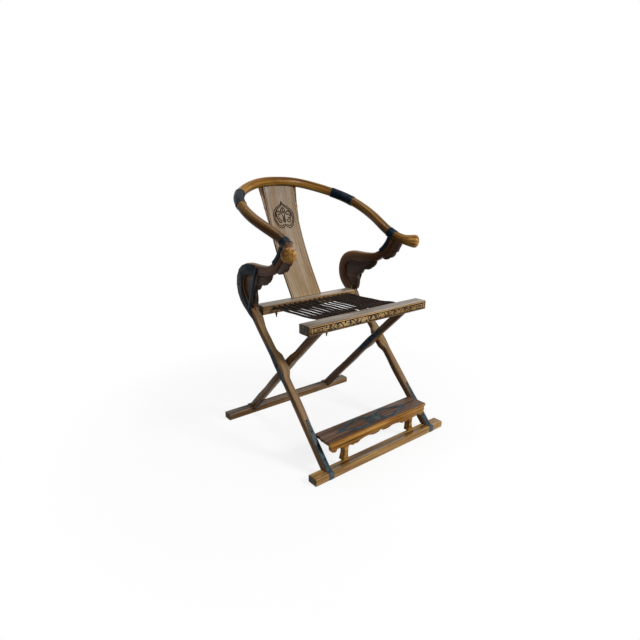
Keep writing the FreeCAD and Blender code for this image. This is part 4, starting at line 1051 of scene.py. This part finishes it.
# seat: straight bundles from hole to hole of the two rails, over crossed cords that leave the middle open
# bends are the stretches of a cord's route and the shares of them that its line goes through
seat = {"holes": 16, "straight": [4, 4, 4, 3, 4, 4, 4, 3, 3, 3, 4, 5, 5, 5, 5, 4],
        "crossed": [3, 4, 4, 4, 4, 4, 3, 0, 0, 0, 2, 2, 2, 2, 2], "stray": 0.0015, "crossedStray": 0.0045,
        "seed": 7, "halfWide": 0.1995, "mouthDrop": 0.014, "radius": 0.0021, "sag": 0.0006, "bundle": 0.0045,
        "upperLift": 0.0022, "lowerLift": -0.0022, "sides": 8, "segments": 26, "tuck": 0.016,
        "bends": ((0, 0.0), (0, 0.6), (1, 0.03), (1, 0.5), (2, 0.0), (2, 0.5), (2, 0.97), (3, 0.4), (3, 1.0))}
frontMouth = Vector((0, frontHigh.y, frontHigh.z - seat["mouthDrop"]))
rearMouth = Vector((0, rearLow.y, rearHigh.z - seat["mouthDrop"]))


# one cord drawn from the rear hole to the front hole, with its twist kept as u and v
def oneCord(lift):
    up = zWay * lift
    rear, front = rearMouth + up, frontMouth + up
    inFront = Vector((0, -1, -1)).normalized() * seat["tuck"]
    inRear = Vector((0, 1, -1)).normalized() * seat["tuck"]
    route = [rear + inRear, rear, between(rear, front, 0.5) - zWay * seat["sag"], front, front + inFront]
    line = drawLine([between(route[k], route[k + 1], share) for k, share in seat["bends"]], 200)
    bm = tubeOn(line, xWay, seat["radius"], seat["sides"], seat["segments"])
    twist = bm.loops.layers.uv.new("twist")
    grain = bm.verts.layers.float_vector["grain"]
    for face in bm.faces:
        turns = [math.atan2(loop.vert[grain].y, loop.vert[grain].x) / (2 * math.pi) for loop in face.loops]
        low = min(turns)
        for loop, turn in zip(face.loops, turns):
            loop[twist].uv = (turn + 1 if turn - low > 0.5 else turn, loop.vert[grain].z)
    return asMesh(bm, "cord")


# shear that carries the cord's rear end to one x and its front end to another
def slanting(xRear, xFront):
    slope = (xFront - xRear) / (frontMouth.y - rearMouth.y)
    m = Matrix.Identity(4)
    m[0][1] = slope
    m[0][3] = xRear - slope * rearMouth.y
    return m


def layCord(bm, mesh, xRear, xFront):
    count = len(bm.verts)
    bm.from_mesh(mesh)
    bm.verts.ensure_lookup_table()
    bmesh.ops.transform(bm, matrix=slanting(xRear, xFront), verts=bm.verts[count:])


holePlaces = np.linspace(-seat["halfWide"], seat["halfWide"], seat["holes"])
upperCord, lowerCord = oneCord(seat["upperLift"]), oneCord(seat["lowerLift"])
bm = bmesh.new()
uneven = np.random.default_rng(seat["seed"])
for place, count in zip(holePlaces, seat["straight"]):
    for k in range(count):
        fan = (k - (count - 1) / 2) * seat["bundle"]
        stray = uneven.uniform(-1, 1, 2) * seat["stray"]
        layCord(bm, upperCord, place + fan + stray[0], place + fan + stray[1])
for a, b, count in zip(holePlaces, holePlaces[1:], seat["crossed"]):
    for k in range(count):
        stray = uneven.uniform(-1, 1, 2) * seat["crossedStray"]
        ends = (a, b) if k % 2 else (b, a)
        layCord(bm, lowerCord, ends[0] + stray[0], ends[1] + stray[1])
laced = finishPiece(bm, "laced_cord_seat", hempCord, "cord", ["seat_cords"], rides=False, sharp=180)
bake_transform(laced, "outer_frame", "inner_frame", start=rearMouth, end=frontMouth)

# stitches below a rail, and the knot that ends the cord
# knots, tailMiddle and tailLong are shares of the drop from the stitches to the tail's end
stitch = {"radius": 0.0022, "sides": 8, "segments": 10, "rise": 0.003, "bendIn": 0.004, "bendRise": 0.0004,
          "knots": ((0.20, 0.0052, 0.0038), (0.42, 0.0046, 0.0032)), "tailMiddle": 0.745, "tailLong": 0.5,
          "tailEnd": 0.0012, "tailTop": 0.0019, "tailLean": 0.0016, "tailBehind": 0.4, "tailTilt": 60}


def stitchRow(name, node, knotHole):
    low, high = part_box(node)
    bm = bmesh.new()
    y = (low.y + high.y) / 2
    z = high.z - stitch["radius"]
    inward = stitch["bendIn"]
    for a, b in zip(holePlaces, holePlaces[1:]):
        path = ((a, stitch["rise"]), (a + inward, stitch["bendRise"]), ((a + b) / 2, 0),
                (b - inward, stitch["bendRise"]), (b, stitch["rise"]))
        line = drawLine([Vector((x, y, z + rise)) for x, rise in path], 60)
        pour(tubeOn(line, yWay, stitch["radius"], stitch["sides"], stitch["segments"]), bm)
    knot = Vector((holePlaces[knotHole], y, z - stitch["radius"]))
    drop = knot.z - low.z
    for down, wide, tall in stitch["knots"]:
        ball = bmesh.ops.create_icosphere(bm, subdivisions=3, radius=1.0)["verts"]
        put = Matrix.Translation(knot - zWay * drop * down)
        bmesh.ops.transform(bm, matrix=put @ Matrix.Diagonal((wide, wide, tall, 1)), verts=ball)
    for lean in (-stitch["tailLean"], stitch["tailLean"]):
        tail = bmesh.ops.create_cone(bm, cap_ends=True, segments=10, radius1=stitch["tailEnd"],
                                     radius2=stitch["tailTop"], depth=drop * stitch["tailLong"])["verts"]
        spot = knot + Vector((lean, lean * stitch["tailBehind"], -drop * stitch["tailMiddle"]))
        turn = Matrix.Rotation(-lean * stitch["tailTilt"], 4, "Y")
        bmesh.ops.transform(bm, matrix=Matrix.Translation(spot) @ turn, verts=tail)
    bm.loops.layers.uv.new("twist")
    finishPiece(bm, name, hempCord, "cord", [node], sharp=180)


stitchRow("front_stitches_cord", "front_cord_stitches", 0)
stitchRow("rear_stitches_cord", "rear_cord_stitches", 1)
print("seat laced:", len(laced.data.polygons), "faces")

# studio
studio = {"floor": 14.0, "worldAmbient": 0.14, "floorGrey": 0.34, "floorWhite": 0.95, "nearShare": 0.84,
          "nearReach": 0.5, "farReach": 1.3, "aim": (0, 0, 0.5), "yaw": 0.675513, "pitch": -0.286279,
          "roll": 0.00349, "cameraPlace": (-1.26746, -1.535403, 1.053012), "focalPixels": 485.6523,
          "framePixels": 640, "sensor": 36.0, "clip": (0.05, 60)}
softboxes = {"key": ((1.2, -2.8, 2.3), 0.9, 101), "overhead": ((-0.2, 0.5, 3.0), 1.1, 36),
             "fill": ((-2.8, -1.0, 1.2), 1.8, 5)}  # place, side in metres, watts


def seenRays(make):
    rays = make("ShaderNodeLightPath").outputs
    either = maths(make, "MAXIMUM", rays["Is Camera Ray"], rays["Is Glossy Ray"])
    return maths(make, "MAXIMUM", either, rays["Is Transmission Ray"])


# white as the eye sees it, with the chair's shadow kept close round it
def floorFinish():
    material, make = shaderTree("studio_floor")
    seen = seenRays(make)
    reach = make("ShaderNodeVectorMath", {0: objectPlace(make)}, operation="LENGTH").outputs["Value"]
    whiter = make("ShaderNodeMapRange", {"Value": reach, "From Min": studio["nearReach"],
                                         "From Max": studio["farReach"], "To Min": studio["nearShare"],
                                         "To Max": 1.0}, interpolation_type="SMOOTHSTEP").outputs["Result"]
    colour = mixed(make, seen, grey(studio["floorGrey"]), grey(studio["floorWhite"]))
    paint = make("ShaderNodeBsdfDiffuse", {"Color": colour}).outputs[0]
    glow = make("ShaderNodeEmission", {"Color": (1, 1, 1, 1), "Strength": 1.0}).outputs[0]
    share = maths(make, "MULTIPLY", seen, whiter)
    surface = make("ShaderNodeMixShader", {0: share, 1: paint, 2: glow}).outputs[0]
    make("ShaderNodeOutputMaterial", {"Surface": surface})
    return material


bm = bmesh.new()
bmesh.ops.create_grid(bm, x_segments=1, y_segments=1, size=studio["floor"])
floor = onScene("floor", asMesh(bm, "floor"))
floor.data.materials.append(floorFinish())

world = bpy.data.worlds.new("studio_air")
bpy.context.scene.world = world
world.use_nodes = True
make = nodeMaker(world.node_tree)
ambient = studio["worldAmbient"]
level = make("ShaderNodeMapRange", {"Value": seenRays(make), "To Min": ambient, "To Max": 1.0})
sky = make("ShaderNodeBackground", {"Color": (1, 1, 1, 1), "Strength": level.outputs["Result"]})
make("ShaderNodeOutputWorld", {"Surface": sky.outputs["Background"]})

for name, (place, side, watts) in softboxes.items():
    lamp = bpy.data.lights.new(name, "AREA")
    lamp.shape = "RECTANGLE"
    lamp.size = lamp.size_y = side
    lamp.energy = watts
    box = onScene(name, lamp)
    box.location = place
    box.rotation_euler = (Vector(studio["aim"]) - Vector(place)).to_track_quat("-Z", "Y").to_euler()

lens = bpy.data.cameras.new("photo_camera")
lens.sensor_width = studio["sensor"]
lens.lens = studio["focalPixels"] / studio["framePixels"] * lens.sensor_width
lens.clip_start, lens.clip_end = studio["clip"]
camera = onScene("photo_camera", lens)
yaw, pitch, roll = studio["yaw"], studio["pitch"], studio["roll"]
ahead = Vector((math.sin(yaw) * math.cos(pitch), math.cos(yaw) * math.cos(pitch), math.sin(pitch)))
right = Vector((math.cos(yaw), -math.sin(yaw), 0))
up = right.cross(ahead)
rightRolled = right * math.cos(roll) + up * math.sin(roll)
upRolled = up * math.cos(roll) - right * math.sin(roll)
camera.matrix_world = standing(Vector(studio["cameraPlace"]), rightRolled, upRolled, -ahead)
bpy.context.scene.camera = camera
bpy.context.scene.view_settings.view_transform = "Standard"
print("studio ready")
